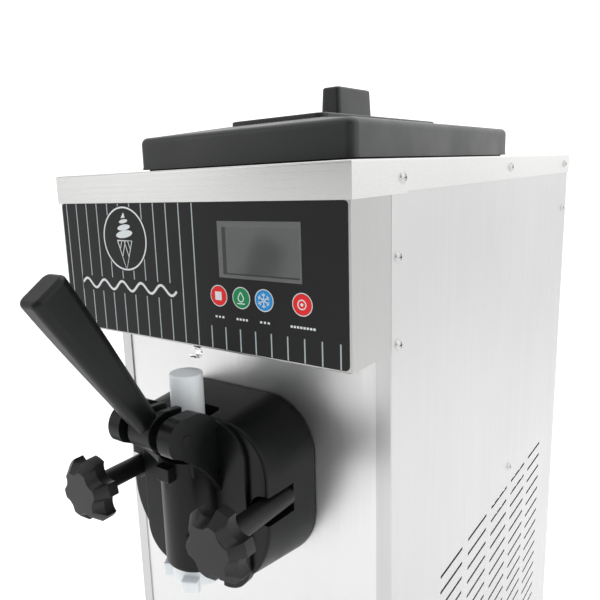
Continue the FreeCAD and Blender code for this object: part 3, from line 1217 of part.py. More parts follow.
def drip_tray():
    """Pull-out tray with a ledge for its grille."""
    back = PLATE_Y - 0.5
    front = PLATE_Y - TRAY_REACH
    low = TRAY_Z - 1.2
    high = TRAY_Z + TRAY_HEIGHT
    outer = rounded("z", low, high, -TRAY_HALF, TRAY_HALF, front, back, 10.0)
    inner = rounded("z", low + TRAY_WALL, high + 1, -TRAY_HALF + TRAY_WALL, TRAY_HALF - TRAY_WALL,
                    front + TRAY_WALL, back - TRAY_WALL, 8.0)
    ledge = rounded("z", high - 6, high - 4, -TRAY_HALF + 1, TRAY_HALF - 1, front + 1, back - 1, 9.0)
    opening = rounded("z", high - 7, high - 3, -TRAY_HALF + 5, TRAY_HALF - 5, front + 5, back - 5, 5.0)
    return fuse([outer.cut(inner), ledge.cut(opening)])


def drip_grille():
    """Slotted grille that lies on the tray's ledge."""
    high = TRAY_Z + TRAY_HEIGHT
    inset = TRAY_WALL + 0.5
    front = PLATE_Y - TRAY_REACH + inset
    back = PLATE_Y - 0.5 - inset
    plate = rounded("z", high - 3.8, high - 1.8, -TRAY_HALF + inset, TRAY_HALF - inset, front, back, 7.0)
    slots = []
    span = back - front - 24
    for number in range(8):
        y = front + 12 + number * span / 7
        for way in (-1, 1):
            x0, x1 = sorted((way * 6, way * (TRAY_HALF - 16)))
            slots.append(rounded("z", high - 5, high, x0, x1, y - 2.5, y + 2.5, 2.4))
    return cut(plate, slots)


def build():
    """Every node of the machine, by name."""
    shapes = {
        "top_cover": top_cover(),
        "head_shell": head_shell(),
        "control_overlay": control_overlay(),
        "display_window": display_window(),
        "control_board": control_board(),
        "switch_body": switch_body(),
        "switch_leaf": switch_leaf(),
        "side_panel_left": side_panel(-1),
        "side_panel_right": side_panel(1),
        "front_panel": front_panel(),
        "rear_panel": rear_panel(),
        "base_pan": base_pan(),
        "chassis_frame": chassis_frame(),
        "feet": feet(),
        "cabinet_screws": cabinet_screws(),
        "cable_gland": cable_gland(),
        "hopper_tank": hopper_tank(),
        "hopper_lid": hopper_lid(),
        "lid_seal": lid_seal(),
        "air_feed_tube": air_feed_tube(),
        "feed_pipe": feed_pipe(),
        "freezing_cylinder": freezing_cylinder(),
        "evaporator_coil": evaporator_coil(),
        "insulation": insulation(),
        "beater": beater(),
        "scraper_blades": scraper_blades(),
        "shaft_seal": shaft_seal(),
        "gearbox": gearbox(),
        "gearbox_pulley": gearbox_pulley(),
        "motor_pulley": motor_pulley(),
        "v_belt": v_belt(),
        "beater_motor": beater_motor(),
        "freezing_door": freezing_door(),
        "door_seal": door_seal(),
        "front_bush": front_bush(),
        "door_studs": door_studs(),
        "star_knob_left": star_knob(-STUD_SPREAD),
        "star_knob_right": star_knob(STUD_SPREAD),
        "valve_plunger": valve_plunger(),
        "plunger_seals": plunger_seals(),
        "nozzle_cap": nozzle_cap(),
        "draw_lever": draw_lever(),
        "lever_pin": lever_pin(),
        "pin_spacers": pin_spacers(),
        "compressor": compressor(),
        "compressor_mounts": compressor_mounts(),
        "condenser": condenser(),
        "fan_shroud": fan_shroud(),
        "fan_motor": fan_motor(),
        "fan_blade": fan_blade(),
        "refrigerant_lines": refrigerant_lines(),
        "filter_drier": filter_drier(),
        "tray_bracket": tray_bracket(),
        "drip_tray": drip_tray(),
        "drip_grille": drip_grille(),
    }
    for name, x in KEY_PLACES.items():
        shapes[name] = control_key(x)
    return shapes


def recentre(shapes):
    """How far the machine moves along Y, so that the origin is its bottom centre."""
    whole = Part.makeCompound(list(shapes.values())).optimalBoundingBox(False, False)
    return -(whole.YMin + whole.YMax) / 2


def main():
    os.makedirs("parts", exist_ok=True)
    shapes = build()
    shift = recentre(shapes)
    print("nodes", len(shapes), "shift", round(shift, 4))
    for name, shape in shapes.items():
        if not shape.isValid():
            print("invalid solid:", name)
        moved = shape.copy()
        moved.translate(Vector(0, shift, 0))
        moved.exportStep("parts/" + name + ".step")


if __name__ == "__main__":
    main()
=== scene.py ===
"""Looks of the countertop soft-serve ice cream maker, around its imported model.

Lengths are metres in the row frame: X to the right, -Y towards the user, Z up.
"""
import math

import bmesh
import bpy
from mathutils import Matrix, Vector


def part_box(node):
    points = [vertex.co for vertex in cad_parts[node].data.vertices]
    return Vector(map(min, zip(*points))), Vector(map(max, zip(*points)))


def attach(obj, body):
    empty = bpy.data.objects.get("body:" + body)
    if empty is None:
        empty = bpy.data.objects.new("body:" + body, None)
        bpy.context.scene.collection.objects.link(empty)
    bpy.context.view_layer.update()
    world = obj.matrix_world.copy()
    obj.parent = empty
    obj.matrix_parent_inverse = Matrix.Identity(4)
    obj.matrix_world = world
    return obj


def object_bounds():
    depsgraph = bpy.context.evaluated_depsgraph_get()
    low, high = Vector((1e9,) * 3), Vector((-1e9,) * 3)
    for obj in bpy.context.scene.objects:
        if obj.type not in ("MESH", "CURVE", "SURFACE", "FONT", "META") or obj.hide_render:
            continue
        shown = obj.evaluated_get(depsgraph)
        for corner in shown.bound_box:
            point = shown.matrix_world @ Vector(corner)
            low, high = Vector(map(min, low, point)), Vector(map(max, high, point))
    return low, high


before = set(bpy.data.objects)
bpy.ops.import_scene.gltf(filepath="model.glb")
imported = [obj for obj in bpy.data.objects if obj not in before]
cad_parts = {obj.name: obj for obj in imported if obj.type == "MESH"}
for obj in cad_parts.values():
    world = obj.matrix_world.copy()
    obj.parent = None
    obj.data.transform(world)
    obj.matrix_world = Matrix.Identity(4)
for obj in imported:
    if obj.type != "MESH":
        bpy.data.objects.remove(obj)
CAD_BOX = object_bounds()
MM = 0.001

COVER_LOW, COVER_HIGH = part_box("top_cover")
OVERLAY_LOW, OVERLAY_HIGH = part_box("control_overlay")
PANE_LOW, PANE_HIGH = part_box("display_window")
OVERLAY_X = (OVERLAY_LOW.x + OVERLAY_HIGH.x) / 2
PANE_BACKING = 3.1 * MM       # the pane's hidden flange past its window
WINDOW_LOW = PANE_LOW + Vector((PANE_BACKING, 0, PANE_BACKING))
WINDOW_HIGH = PANE_HIGH - Vector((PANE_BACKING, 0, PANE_BACKING))
KEY_FLANGE = 1.4 * MM         # the keys' hidden flange past their faces
KEY_LOW, KEY_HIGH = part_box("key_stop")
KEY_FACE = (KEY_HIGH.x - KEY_LOW.x) / 2 - KEY_FLANGE
COVER_WIDTH = COVER_HIGH.x - COVER_LOW.x
MIDDLE_X = (COVER_LOW.x + COVER_HIGH.x) / 2

# ---- camera: the photograph's viewing angle, in cover widths from the lip's top middle ----
CAMERA_OFFSET = Vector((1.12586, -1.14525, -0.02097))
CAMERA_FORWARD = Vector((-0.62208, 0.75786, -0.19661))
CAMERA_RIGHT = Vector((0.77803, 0.62647, -0.04691))
CAMERA_LENS = 37.307
CAMERA_SHIFT = 0.1039

# ---- studio ----
WORLD_LEVEL = 0.80
WORLD_TILT = (("Y", 0.62), ("Z", 0.22))       # brightness gained towards each axis
LIGHT_AIM = (0.0, 0.0, 0.5)
LIGHTS = (
    ("softbox_right", (1.9, 0.1, 1.3), (1.4, 1.8), 6.0),
    ("softbox_top", (0.2, 0.3, 2.2), (1.6, 1.6), 10.0),
    ("softbox_left", (-1.5, -1.5, 1.4), (0.8, 1.6), 5.0),
)
FLOOR_HALF = 60.0
FLOOR_GAP = 0.05 * MM
FLOOR_GLOW = 0.35

# ---- printed overlay ----
INK = 0.04 * MM
STRIPE_PITCH = 13.07 * MM
STRIPE_START = 0.15 * MM
STRIPE_WIDTH = 1.0 * MM
LONG_STRIPES = range(-10, 2)
SHORT_STRIPES = range(2, 11)
SHORT_STRIPE_HEIGHT = 16.6 * MM
RIM_WIDTH = 0.65 * MM
ICON_WIDTH = 0.7 * MM
BADGE_X = -60.0 * MM          # from the overlay's middle
BADGE_DROP = 27.6 * MM        # below the overlay's top edge
BADGE_RADIUS = 25.0 * MM
WAVE_FROM = -116.5 * MM
WAVE_TO = -6.5 * MM
WAVE_DROP = 65.4 * MM
WAVE_HEIGHT = 3.6 * MM
WAVE_COUNT = 5
LABEL_DROP = 80.0 * MM
LABELS = {"key_stop": 8.0 * MM, "key_clean": 9.8 * MM, "key_cold": 8.0 * MM, "key_set": 18.9 * MM}
PANE_FRAME = 4.0 * MM


# ---------------------------------------------------------------- camera, light, floor
def make_camera():
    data = bpy.data.cameras.new("camera")
    data.lens = CAMERA_LENS
    data.sensor_width = 36.0
    data.shift_x = CAMERA_SHIFT
    data.clip_end = 200.0
    camera = bpy.data.objects.new("camera", data)
    bpy.context.scene.collection.objects.link(camera)
    forward = CAMERA_FORWARD.normalized()
    right = (CAMERA_RIGHT - forward * CAMERA_RIGHT.dot(forward)).normalized()
    up = right.cross(forward)
    turn = Matrix((right, up, -forward)).transposed().to_4x4()
    anchor = Vector((MIDDLE_X, COVER_LOW.y, COVER_HIGH.z))
    camera.matrix_world = Matrix.Translation(anchor + CAMERA_OFFSET * COVER_WIDTH) @ turn
    bpy.context.scene.camera = camera


def make_world():
    """Soft white studio: brightest behind and above, dimmer in front."""
    world = bpy.data.worlds.new("studio")
    bpy.context.scene.world = world
    world.use_nodes = True
    tree = world.node_tree
    tree.nodes.clear()
    coords = tree.nodes.new("ShaderNodeTexCoord")
    split = tree.nodes.new("ShaderNodeSeparateXYZ")
    tree.links.new(coords.outputs["Generated"], split.inputs[0])
    total = None
    for axis, share in WORLD_TILT:
        part = tree.nodes.new("ShaderNodeMath")
        part.operation = "MULTIPLY_ADD"
        part.inputs[1].default_value = share
        tree.links.new(split.outputs[axis], part.inputs[0])
        if total is None:
            part.inputs[2].default_value = WORLD_LEVEL
        else:
            tree.links.new(total.outputs[0], part.inputs[2])
        total = part
    background = tree.nodes.new("ShaderNodeBackground")
    background.inputs["Color"].default_value = (1.0, 1.0, 1.0, 1.0)
    tree.links.new(total.outputs[0], background.inputs["Strength"])
    output = tree.nodes.new("ShaderNodeOutputWorld")
    tree.links.new(background.outputs[0], output.inputs["Surface"])


def make_light(name, place, size, power):
    data = bpy.data.lights.new(name, "AREA")
    data.shape = "RECTANGLE"
    data.size = size[0]
    data.size_y = size[1]
    data.energy = power
    light = bpy.data.objects.new(name, data)
    light.location = place
    light.rotation_euler = (Vector(LIGHT_AIM) - Vector(place)).to_track_quat("-Z", "Y").to_euler()
    bpy.context.scene.collection.objects.link(light)


def make_lights():
    for name, place, size, power in LIGHTS:
        make_light(name, place, size, power)


def make_floor():
    floor_mesh = bpy.data.meshes.new("floor")
    half = FLOOR_HALF
    floor_mesh.from_pydata([(-half, -half, 0), (half, -half, 0), (half, half, 0), (-half, half, 0)], [],
                           [(0, 1, 2, 3)])
    floor = bpy.data.objects.new("floor", floor_mesh)
    floor.location.z = CAD_BOX[0].z - FLOOR_GAP
    bpy.context.scene.collection.objects.link(floor)
    paint = bpy.data.materials.new("floor_white")
    paint.use_nodes = True
    shader = paint.node_tree.nodes["Principled BSDF"]
    shader.inputs["Base Color"].default_value = (0.9, 0.9, 0.9, 1.0)
    shader.inputs["Roughness"].default_value = 0.9
    shader.inputs["Specular IOR Level"].default_value = 0.0
    shader.inputs["Emission Color"].default_value = (1.0, 1.0, 1.0, 1.0)
    shader.inputs["Emission Strength"].default_value = FLOOR_GLOW
    floor.data.materials.append(paint)


# ---------------------------------------------------------------- material building blocks
class Paint:
    """One Principled material with helpers that hang procedural detail on it."""

    def __init__(self, name, colour, rough, metallic=0.0, specular=0.5):
        self.material = bpy.data.materials.new(name)
        self.material.use_nodes = True
        self.tree = self.material.node_tree
        self.shader = self.tree.nodes["Principled BSDF"]
        self.colour = colour
        self.rough = rough
        self.set("Metallic", metallic)
        self.set("Specular IOR Level", specular)
        self.set("Base Color", (*colour, 1.0))
        self.set("Roughness", rough)
        self.last_normal = None

    def set(self, socket, value):
        self.shader.inputs[socket].default_value = value

    def node(self, kind):
        return self.tree.nodes.new(kind)

    def link(self, out, into):
        self.tree.links.new(out, into)

    def noise(self, stretch, detail=3.0, roughness=0.55):
        """Noise in the row frame; stretch is the number of features in a metre along X, Y, Z."""
        coords = self.node("ShaderNodeTexCoord")
        scale = self.node("ShaderNodeMapping")
        scale.inputs["Scale"].default_value = stretch
        self.link(coords.outputs["Object"], scale.inputs["Vector"])
        noise = self.node("ShaderNodeTexNoise")
        noise.inputs["Scale"].default_value = 1.0
        noise.inputs["Detail"].default_value = detail
        noise.inputs["Roughness"].default_value = roughness
        self.link(scale.outputs[0], noise.inputs["Vector"])
        return noise.outputs["Fac"]

    def spread(self, value, low, high):
        """Maps the middle of a noise on to low..high."""
        ranger = self.node("ShaderNodeMapRange")
        ranger.inputs["From Min"].default_value = 0.3
        ranger.inputs["From Max"].default_value = 0.7
        ranger.inputs["To Min"].default_value = low
        ranger.inputs["To Max"].default_value = high
        self.link(value, ranger.inputs["Value"])
        return ranger.outputs[0]

    def vary_colour(self, value, amount):
        """Lightens and darkens the base colour by a share."""
        mix = self.node("ShaderNodeMix")
        mix.data_type = "RGBA"
        mix.inputs["A"].default_value = (*[c * (1 - amount) for c in self.colour], 1.0)
        mix.inputs["B"].default_value = (*[min(1.0, c * (1 + amount)) for c in self.colour], 1.0)
        self.link(self.spread(value, 0.0, 1.0), mix.inputs["Factor"])
        self.link(mix.outputs["Result"], self.shader.inputs["Base Color"])
        return self

    def vary_rough(self, value, amount):
        self.link(self.spread(value, self.rough - amount, self.rough + amount),
                  self.shader.inputs["Roughness"])
        return self

    def bump(self, value, depth, strength=1.0):
        """Adds a layer of relief; depth is in metres."""
        bump = self.node("ShaderNodeBump")
        bump.inputs["Distance"].default_value = depth
        bump.inputs["Strength"].default_value = strength
        self.link(value, bump.inputs["Height"])
        if self.last_normal is not None:
            self.link(self.last_normal, bump.inputs["Normal"])
        self.last_normal = bump.outputs[0]
        self.link(self.last_normal, self.shader.inputs["Normal"])
        return self


GRAIN = {"X": (6.0, 900.0, 900.0), "Y": (900.0, 6.0, 900.0), "Z": (900.0, 900.0, 6.0)}
CLOUD = (5.0, 5.0, 5.0)


def brushed_steel(name, colour, rough, grain):
    """Stainless sheet with a fine grain along one axis and faint rolling marks."""
    paint = Paint(name, colour, rough, metallic=1.0)
    fine = paint.noise(GRAIN[grain], detail=2.0)
    paint.vary_colour(paint.noise(CLOUD, detail=4.0), 0.035)
    paint.vary_rough(fine, 0.05)
    paint.bump(fine, 0.012 * MM, 0.5)
    return paint.material


def moulded_black(name, colour, rough, specular=0.45, texture=0.02):
    """Black ABS: fine spark texture, slightly uneven gloss, faint flow marks."""
    paint = Paint(name, colour, rough, specular=specular)
    grain = paint.noise((1800.0, 1800.0, 1800.0), detail=2.0)
    flow = paint.noise((22.0, 22.0, 22.0), detail=4.0)
    paint.vary_colour(flow, 0.18)
    paint.vary_rough(flow, 0.06)
    paint.bump(grain, texture * MM, 0.6)
    paint.bump(flow, 0.15 * MM, 0.25)
    return paint.material


def milky_plastic(name):
    """White acetal that lets a little light in."""
    paint = Paint(name, (0.80, 0.84, 0.86), 0.32, specular=0.5)
    paint.set("Subsurface Weight", 0.35)
    paint.set("Subsurface Radius", (0.006, 0.007, 0.008))
    paint.set("Subsurface Scale", 0.6)
    cloud = paint.noise((60.0, 60.0, 25.0), detail=3.0)
    turning = paint.noise((40.0, 40.0, 1600.0), detail=1.0)
    paint.vary_colour(cloud, 0.03)
    paint.vary_rough(cloud, 0.06)
    paint.bump(turning, 0.01 * MM, 0.4)
    return paint.material


def plain_finish(name, colour, rough, metallic=0.0, scale=300.0, relief=0.03, specular=0.5, mottle=0.08):
    """Moulded, cast, painted or drawn surface with even fine mottling and relief."""
    paint = Paint(name, colour, rough, metallic, specular)
    fine = paint.noise((scale, scale, scale))
    paint.vary_colour(paint.noise((scale / 12, scale / 12, scale / 12), detail=4.0), mottle)
    paint.vary_rough(fine, min(0.06, rough * 0.4))
    paint.bump(fine, relief * MM, 0.5)
    return paint.material


def glossy_print(name, colour, rough):
    """Screen-printed ink on the overlay: nearly even, with a faint weave."""
    paint = Paint(name, colour, rough, specular=0.22)
    weave = paint.noise((2500.0, 2500.0, 2500.0), detail=1.0)
    paint.vary_colour(weave, 0.05)
    paint.vary_rough(weave, 0.04)
    paint.bump(weave, 0.004 * MM, 0.5)
    return paint.material


def make_materials():
    return {
        # One stainless steel in lit and shaded copies: the head and side panels get darker base colours as
        # painted shade, the front panel a lighter one as painted light.
        "cover": brushed_steel("steel_cover", (0.60, 0.60, 0.59), 0.30, "X"),
        "head": brushed_steel("steel_head_painted_shade", (0.42, 0.42, 0.41), 0.32, "Z"),
        "side": brushed_steel("steel_side_painted_shade", (0.53, 0.53, 0.53), 0.34, "Z"),
        "front": brushed_steel("steel_front_painted_light", (0.69, 0.69, 0.69), 0.36, "Z"),
        "tank": brushed_steel("steel_tank", (0.62, 0.62, 0.62), 0.26, "Z"),
        "grille": brushed_steel("steel_grille", (0.60, 0.60, 0.60), 0.28, "X"),
        "zinc": plain_finish("zinc_plate", (0.50, 0.51, 0.53), 0.42, 0.9, 140.0, 0.02),
        "screw": plain_finish("screw_steel", (0.48, 0.48, 0.48), 0.26, 1.0, 500.0, 0.01),
        "spring": plain_finish("spring_steel", (0.80, 0.80, 0.80), 0.12, 1.0, 400.0, 0.008),
        "lid": moulded_black("lid_abs", (0.0085, 0.0098, 0.0108), 0.40, 0.55),
        "door": moulded_black("door_abs", (0.0042, 0.0046, 0.0048), 0.36, 0.20),
        "lever": moulded_black("lever_abs", (0.0045, 0.0050, 0.0053), 0.38, 0.24),
        "knob": moulded_black("knob_abs", (0.0065, 0.0068, 0.0068), 0.46, 0.40, 0.035),
        "tray": moulded_black("tray_abs", (0.0075, 0.0080, 0.0085), 0.42, 0.45),
        "gland": moulded_black("gland_nylon", (0.008, 0.008, 0.009), 0.5, 0.4),
        "milky": milky_plastic("white_acetal"),
        "overlay": glossy_print("overlay_charcoal", (0.0105, 0.0108, 0.0108), 0.48),
        "ink": glossy_print("ink_white", (0.72, 0.75, 0.76), 0.5),
        "stripe": glossy_print("ink_grey", (0.42, 0.47, 0.49), 0.5),
        "red": glossy_print("key_red", (0.75, 0.018, 0.020), 0.35),
        "green": glossy_print("key_green", (0.010, 0.24, 0.085), 0.35),
        "blue": glossy_print("key_blue", (0.020, 0.27, 0.62), 0.35),
        "pane": plain_finish("display_grey", (0.085, 0.092, 0.088), 0.16, 0.0, 900.0, 0.002, 0.5, 0.03),
        "pane_frame": plain_finish("display_frame", (0.115, 0.120, 0.117), 0.3, 0.0, 900.0, 0.002,
                                   0.4, 0.03),
        # painted shade colour for the strips inside the display's recess
        "pane_painted_shade": plain_finish("display_painted_shade", (0.030, 0.033, 0.032), 0.4, 0.0, 900.0, 0.002, 0.4, 0.03),
        "rubber": plain_finish("rubber_black", (0.012, 0.012, 0.012), 0.78, 0.0, 700.0, 0.05, 0.3, 0.2),
        "board": plain_finish("board_green", (0.012, 0.085, 0.035), 0.4, 0.0, 600.0, 0.02),
        "foam": plain_finish("foam_cream", (0.72, 0.66, 0.46), 0.95, 0.0, 260.0, 0.4, 0.1, 0.1),
        "copper": plain_finish("copper_tube", (0.72, 0.33, 0.19), 0.28, 1.0, 120.0, 0.02, 0.5, 0.12),
        "enamel": plain_finish("black_enamel", (0.012, 0.012, 0.013), 0.32, 0.0, 220.0, 0.06, 0.5, 0.1),
        "cast": plain_finish("cast_grey", (0.36, 0.36, 0.37), 0.55, 0.85, 420.0, 0.15, 0.5, 0.12),
        "fins": plain_finish("fin_aluminium", (0.70, 0.71, 0.72), 0.38, 1.0, 90.0, 0.03),
        "fan": plain_finish("fan_nylon", (0.018, 0.018, 0.020), 0.5, 0.0, 300.0, 0.03),
    }


NODE_PAINT = {
    "cover": ["top_cover"],
    "head": ["head_shell"],
    "side": ["side_panel_left", "side_panel_right", "rear_panel"],
    "front": ["front_panel"],
    "tank": ["hopper_tank", "freezing_cylinder", "feed_pipe", "beater", "door_studs"],
    "grille": ["drip_grille"],
    "zinc": ["base_pan", "chassis_frame", "tray_bracket", "fan_shroud"],
    "screw": ["cabinet_screws"],
    "spring": ["switch_leaf"],
    "lid": ["hopper_lid"],
    "door": ["freezing_door", "lever_pin", "pin_spacers"],
    "lever": ["draw_lever"],
    "knob": ["star_knob_left", "star_knob_right"],
    "tray": ["drip_tray"],
    "gland": ["cable_gland", "switch_body"],
    "milky": ["valve_plunger", "nozzle_cap", "front_bush", "air_feed_tube", "scraper_blades"],
    "overlay": ["control_overlay"],
    "red": ["key_stop", "key_set"],
    "green": ["key_clean"],
    "blue": ["key_cold"],
    "pane": ["display_window"],
    "rubber": ["feet", "compressor_mounts", "v_belt", "shaft_seal", "lid_seal", "door_seal",
               "plunger_seals"],
    "board": ["control_board"],
    "foam": ["insulation"],
    "copper": ["evaporator_coil", "refrigerant_lines", "filter_drier"],
    "enamel": ["compressor", "beater_motor", "fan_motor", "motor_pulley"],
    "cast": ["gearbox", "gearbox_pulley"],
    "fins": ["condenser"],
    "fan": ["fan_blade"],
}


def paint_nodes(paints):
    for paint, nodes in NODE_PAINT.items():
        for node in nodes:
            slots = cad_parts[node].material_slots
            for slot in slots:
                slot.material = paints[paint]


# ---------------------------------------------------------------- mesh building blocks
def new_piece(name, mesh, paint, body):
    """Puts a finished bmesh in the scene as a piece that rides on a body."""
    bmesh.ops.recalc_face_normals(mesh, faces=mesh.faces)
    data = bpy.data.meshes.new(name)
    mesh.to_mesh(data)
    mesh.free()
    data.materials.append(paint)
    piece = bpy.data.objects.new(name, data)
    bpy.context.scene.collection.objects.link(piece)
    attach(piece, body)
    return piece


def add_prism(mesh, outline, front, thick):
    """A closed outline of (x, z) points, made solid from the plane y = front towards +Y."""
    near = [mesh.verts.new((x, front, z)) for x, z in outline]
    far = [mesh.verts.new((x, front + thick, z)) for x, z in outline]
    mesh.faces.new(near)
    mesh.faces.new(list(reversed(far)))
    count = len(outline)
    for i in range(count):
        j = (i + 1) % count
        mesh.faces.new((near[j], near[i], far[i], far[j]))


def add_bar(mesh, x0, x1, z0, z1, front, thick):
    add_prism(mesh, [(x0, z0), (x1, z0), (x1, z1), (x0, z1)], front, thick)


def stroke_sides(points, width):
    """The two sides of a drawn line of even width, with mitred corners."""
    left = []
    right = []
    for i, point in enumerate(points):
        before = points[max(i - 1, 0)]
        after = points[min(i + 1, len(points) - 1)]
        along = Vector((after[0] - before[0], after[1] - before[1]))
        along.normalize()
        across = Vector((-along.y, along.x)) * (width / 2)
        left.append((point[0] + across.x, point[1] + across.y))
        right.append((point[0] - across.x, point[1] - across.y))
    return left, right


def add_stroke(mesh, points, width, front, thick):
    """A drawn line as a thin solid band."""
    left, right = stroke_sides(points, width)
    rows = []
    for a, b in zip(left, right):
        rows.append([mesh.verts.new((a[0], front, a[1])), mesh.verts.new((b[0], front, b[1])),
                     mesh.verts.new((b[0], front + thick, b[1])),
                     mesh.verts.new((a[0], front + thick, a[1]))])
    for one, two in zip(rows, rows[1:]):
        for i in range(4):
            j = (i + 1) % 4
            mesh.faces.new((one[i], one[j], two[j], two[i]))
    mesh.faces.new(list(reversed(rows[0])))
    mesh.faces.new(rows[-1])


def add_ring(mesh, x, z, outer, inner, front, thick, steps=64):
    rows = []
    for i in range(steps):
        angle = 2 * math.pi * i / steps
        c, s = math.cos(angle), math.sin(angle)
        rows.append([mesh.verts.new((x + outer * c, front, z + outer * s)),
                     mesh.verts.new((x + inner * c, front, z + inner * s)),
                     mesh.verts.new((x + inner * c, front + thick, z + inner * s)),
                     mesh.verts.new((x + outer * c, front + thick, z + outer * s))])
    for i in range(steps):
        one, two = rows[i], rows[(i + 1) % steps]
        for a in range(4):
            b = (a + 1) % 4
            mesh.faces.new((one[a], one[b], two[b], two[a]))


def rotated(points, angle, centre):
    c, s = math.cos(angle), math.sin(angle)
    return [(centre[0] + (x - centre[0]) * c - (z - centre[1]) * s,
             centre[1] + (x - centre[0]) * s + (z - centre[1]) * c) for x, z in points]


# ---------------------------------------------------------------- control head print
def make_stripes(paints):
    mesh = bmesh.new()
    middle = OVERLAY_X + STRIPE_START
    front = OVERLAY_LOW.y - INK
    edge = 0.4 * MM
    for number in LONG_STRIPES:
        x = middle + number * STRIPE_PITCH
        add_bar(mesh, x - STRIPE_WIDTH / 2, x + STRIPE_WIDTH / 2,
                OVERLAY_LOW.z + edge, OVERLAY_HIGH.z - edge, front, INK)
    for number in SHORT_STRIPES:
        x = middle + number * STRIPE_PITCH
        add_bar(mesh, x - STRIPE_WIDTH / 2, x + STRIPE_WIDTH / 2, OVERLAY_LOW.z + edge,
                OVERLAY_LOW.z + SHORT_STRIPE_HEIGHT, front, INK)
    new_piece("overlay_stripes", mesh, paints["stripe"], "cabinet")


def overlay_place(x, drop):
    """A point on the overlay from its middle and its top edge."""
    return OVERLAY_X + x, OVERLAY_HIGH.z - drop


def arc_points(x, z, radius, start, end, steps, squash=1.0):
    """Points along an arc, angles in degrees from +X towards +Z."""
    points = []
    for i in range(steps + 1):
        angle = math.radians(start + (end - start) * i / steps)
        points.append((x + radius * math.cos(angle), z + radius * squash * math.sin(angle)))
    return points


def add_cone(mesh, x, z, front):
    """A plain upright cone: waffle wedge below, three shrinking scoops above."""
    half = 8.4 * MM
    height = 23.0 * MM
    line = 1.0 * MM
    rim = z - 1.5 * MM
    tip = rim - height
    add_stroke(mesh, [(x - half, rim), (x, tip), (x + half, rim), (x - half, rim)], line, front, INK)
    for share in (0.3, 0.55):
        for way in (-1, 1):
            top = (x + way * half * (1 - 2 * share), rim)
            foot = (x + way * half * (1 - share), rim - height * share)
            add_stroke(mesh, [top, foot], line * 0.7, front, INK)
    for level, reach in ((3.6, 9.6), (8.8, 7.4), (13.6, 5.0)):
        scoop = arc_points(x, z + level * MM, reach * MM, 0, 360, 40, 0.30)[:-1]
        add_prism(mesh, rotated(scoop, math.radians(8), (x, z + level * MM)), front, INK)
    curl = [(x - 2.6 * MM, z + 16.0 * MM), (x + 2.2 * MM, z + 16.4 * MM), (x + 0.9 * MM, z + 20.6 * MM)]
    add_prism(mesh, curl, front, INK)


def make_badge(paints):
    """Generic badge: one cone in a plain circle, with a wavy line below."""
    mesh = bmesh.new()
    front = OVERLAY_LOW.y - 2 * INK
    x, z = overlay_place(BADGE_X, BADGE_DROP)
    add_ring(mesh, x, z, BADGE_RADIUS, BADGE_RADIUS - 1.3 * MM, front, INK, 96)
    add_cone(mesh, x, z, front)
    start, level = overlay_place(WAVE_FROM, WAVE_DROP)
    length = WAVE_TO - WAVE_FROM
    steps = 30 * WAVE_COUNT
    wave = [(start + length * i / steps,
             level + WAVE_HEIGHT * math.sin(2 * math.pi * WAVE_COUNT * i / steps)) for i in range(steps + 1)]
    add_stroke(mesh, wave, 2.0 * MM, front, INK)
    new_piece("overlay_badge", mesh, paints["ink"], "cabinet")


def make_badge_ground(paints):
    """Dark ground that keeps the stripes off the badge and the wavy line."""
    mesh = bmesh.new()
    front = OVERLAY_LOW.y - 1.5 * INK
    x, z = overlay_place(BADGE_X, BADGE_DROP)
    disc = arc_points(x, z, BADGE_RADIUS + 0.8 * MM, 0, 360, 96)[:-1]
    add_prism(mesh, disc, front, INK)
    left, level = overlay_place(WAVE_FROM, WAVE_DROP)
    reach = WAVE_HEIGHT + 2.4 * MM
    add_bar(mesh, left - MM, left + WAVE_TO - WAVE_FROM + MM, level - reach, level + reach, front, INK)
    new_piece("overlay_ground", mesh, paints["overlay"], "cabinet")


def make_labels(paints):
    """Plain dashes under the keys."""
    mesh = bmesh.new()
    front = OVERLAY_LOW.y - INK
    dash = 1.7 * MM
    half_height = 0.75 * MM
    for key, width in LABELS.items():
        low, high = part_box(key)
        middle = (low.x + high.x) / 2
        level = OVERLAY_HIGH.z - LABEL_DROP
        count = round(width / (dash * 1.4))
        for i in range(count):
            x = middle - width / 2 + (width - dash) * i / (count - 1)
            add_bar(mesh, x, x + dash, level - half_height, level + half_height, front, INK)
    new_piece("overlay_labels", mesh, paints["ink"], "cabinet")


def make_key_rims(paints):
    """White rings printed round the keys."""
    mesh = bmesh.new()
    for key in LABELS:
        low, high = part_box(key)
        inner = KEY_FACE + 0.1 * MM
        add_ring(mesh, (low.x + high.x) / 2, (low.z + high.z) / 2, inner + RIM_WIDTH, inner,
                 OVERLAY_LOW.y - INK, INK)
    new_piece("overlay_key_rims", mesh, paints["ink"], "cabinet")


def stop_icon(mesh, x, z, front):
    add_bar(mesh, x - 2.9 * MM, x + 2.9 * MM, z - 3.0 * MM, z + 3.0 * MM, front, INK)


def drop_icon(mesh, x, z, front):
    """A drop over a short tray line."""
    round_part = arc_points(x, z - 0.2 * MM, 2.3 * MM, 150, 390, 28)
    outline = [(x, z + 4.2 * MM)] + round_part + [(x, z + 4.2 * MM)]
    add_stroke(mesh, outline, ICON_WIDTH, front, INK)
    add_bar(mesh, x - 3.2 * MM, x + 3.2 * MM, z - 4.2 * MM, z - 3.5 * MM, front, INK)


def frost_icon(mesh, x, z, front):
    """A six-armed star with forked arms."""
    for turn in range(6):
        angle = math.radians(60 * turn + 30)
        arm = [(x + 0.5 * MM, z), (x + 5.0 * MM, z)]
        fork = [(x + 4.4 * MM, z + 1.5 * MM), (x + 2.9 * MM, z), (x + 4.4 * MM, z - 1.5 * MM)]
        add_stroke(mesh, rotated(arm, angle, (x, z)), ICON_WIDTH, front, INK)
        add_stroke(mesh, rotated(fork, angle, (x, z)), ICON_WIDTH * 0.8, front, INK)


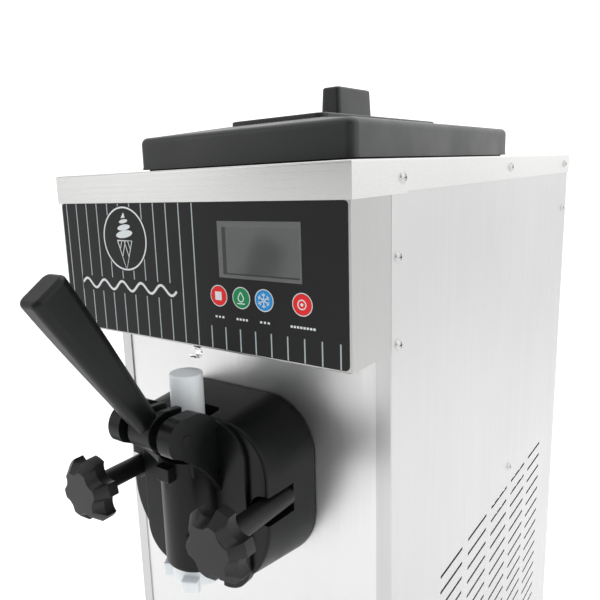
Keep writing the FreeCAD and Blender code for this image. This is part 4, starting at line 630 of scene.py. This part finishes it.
def ring_icon(mesh, x, z, front):
    add_ring(mesh, x, z, 3.4 * MM, 2.6 * MM, front, INK, 40)
    add_prism(mesh, arc_points(x, z, 1.1 * MM, 0, 360, 24)[:-1], front, INK)


def make_icons(paints):
    """One white pictogram on each key, moving with it."""
    icons = {"key_stop": stop_icon, "key_clean": drop_icon, "key_cold": frost_icon, "key_set": ring_icon}
    for key, draw in icons.items():
        low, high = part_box(key)
        mesh = bmesh.new()
        draw(mesh, (low.x + high.x) / 2, (low.z + high.z) / 2, low.y - INK)
        new_piece(key + "_icon", mesh, paints["ink"], key)


def make_display_frame(paints):
    """Lighter frame round the display, and painted shade: dark strips inside its left and lower edges where
    the recessed display lies in shade.
    """
    front = PANE_LOW.y - INK
    x0, x1 = WINDOW_LOW.x, WINDOW_HIGH.x
    z0, z1 = WINDOW_LOW.z, WINDOW_HIGH.z
    inset = PANE_FRAME
    shade_width = 1.6 * MM
    frame_mesh = bmesh.new()
    add_bar(frame_mesh, x0, x0 + inset, z0, z1, front, INK)
    add_bar(frame_mesh, x1 - inset * 0.4, x1, z0, z1, front, INK)
    add_bar(frame_mesh, x0 + inset, x1 - inset * 0.4, z1 - inset, z1, front, INK)
    add_bar(frame_mesh, x0 + inset, x1 - inset * 0.4, z0, z0 + inset * 0.6, front, INK)
    new_piece("display_frame", frame_mesh, paints["pane_frame"], "cabinet")
    # Painted shade: dark strips along the window's left and lower edges stand in for the shade inside the
    # recess.
    shade_mesh = bmesh.new()
    add_bar(shade_mesh, x0 + inset, x0 + inset + 2 * shade_width, z0 + inset * 0.6, z1 - inset, front, INK)
    add_bar(shade_mesh, x0 + inset + 2 * shade_width, x1 - inset * 0.4,
            z0 + inset * 0.6, z0 + inset * 0.6 + shade_width * 0.7, front, INK)
    new_piece("display_painted_shade_strips", shade_mesh, paints["pane_painted_shade"], "cabinet")


def build_all():
    paints = make_materials()
    paint_nodes(paints)
    make_stripes(paints)
    make_badge_ground(paints)
    make_badge(paints)
    make_labels(paints)
    make_key_rims(paints)
    make_icons(paints)
    make_display_frame(paints)


make_camera()
make_world()
make_lights()
make_floor()
build_all()
bpy.context.scene.view_settings.view_transform = "Standard"
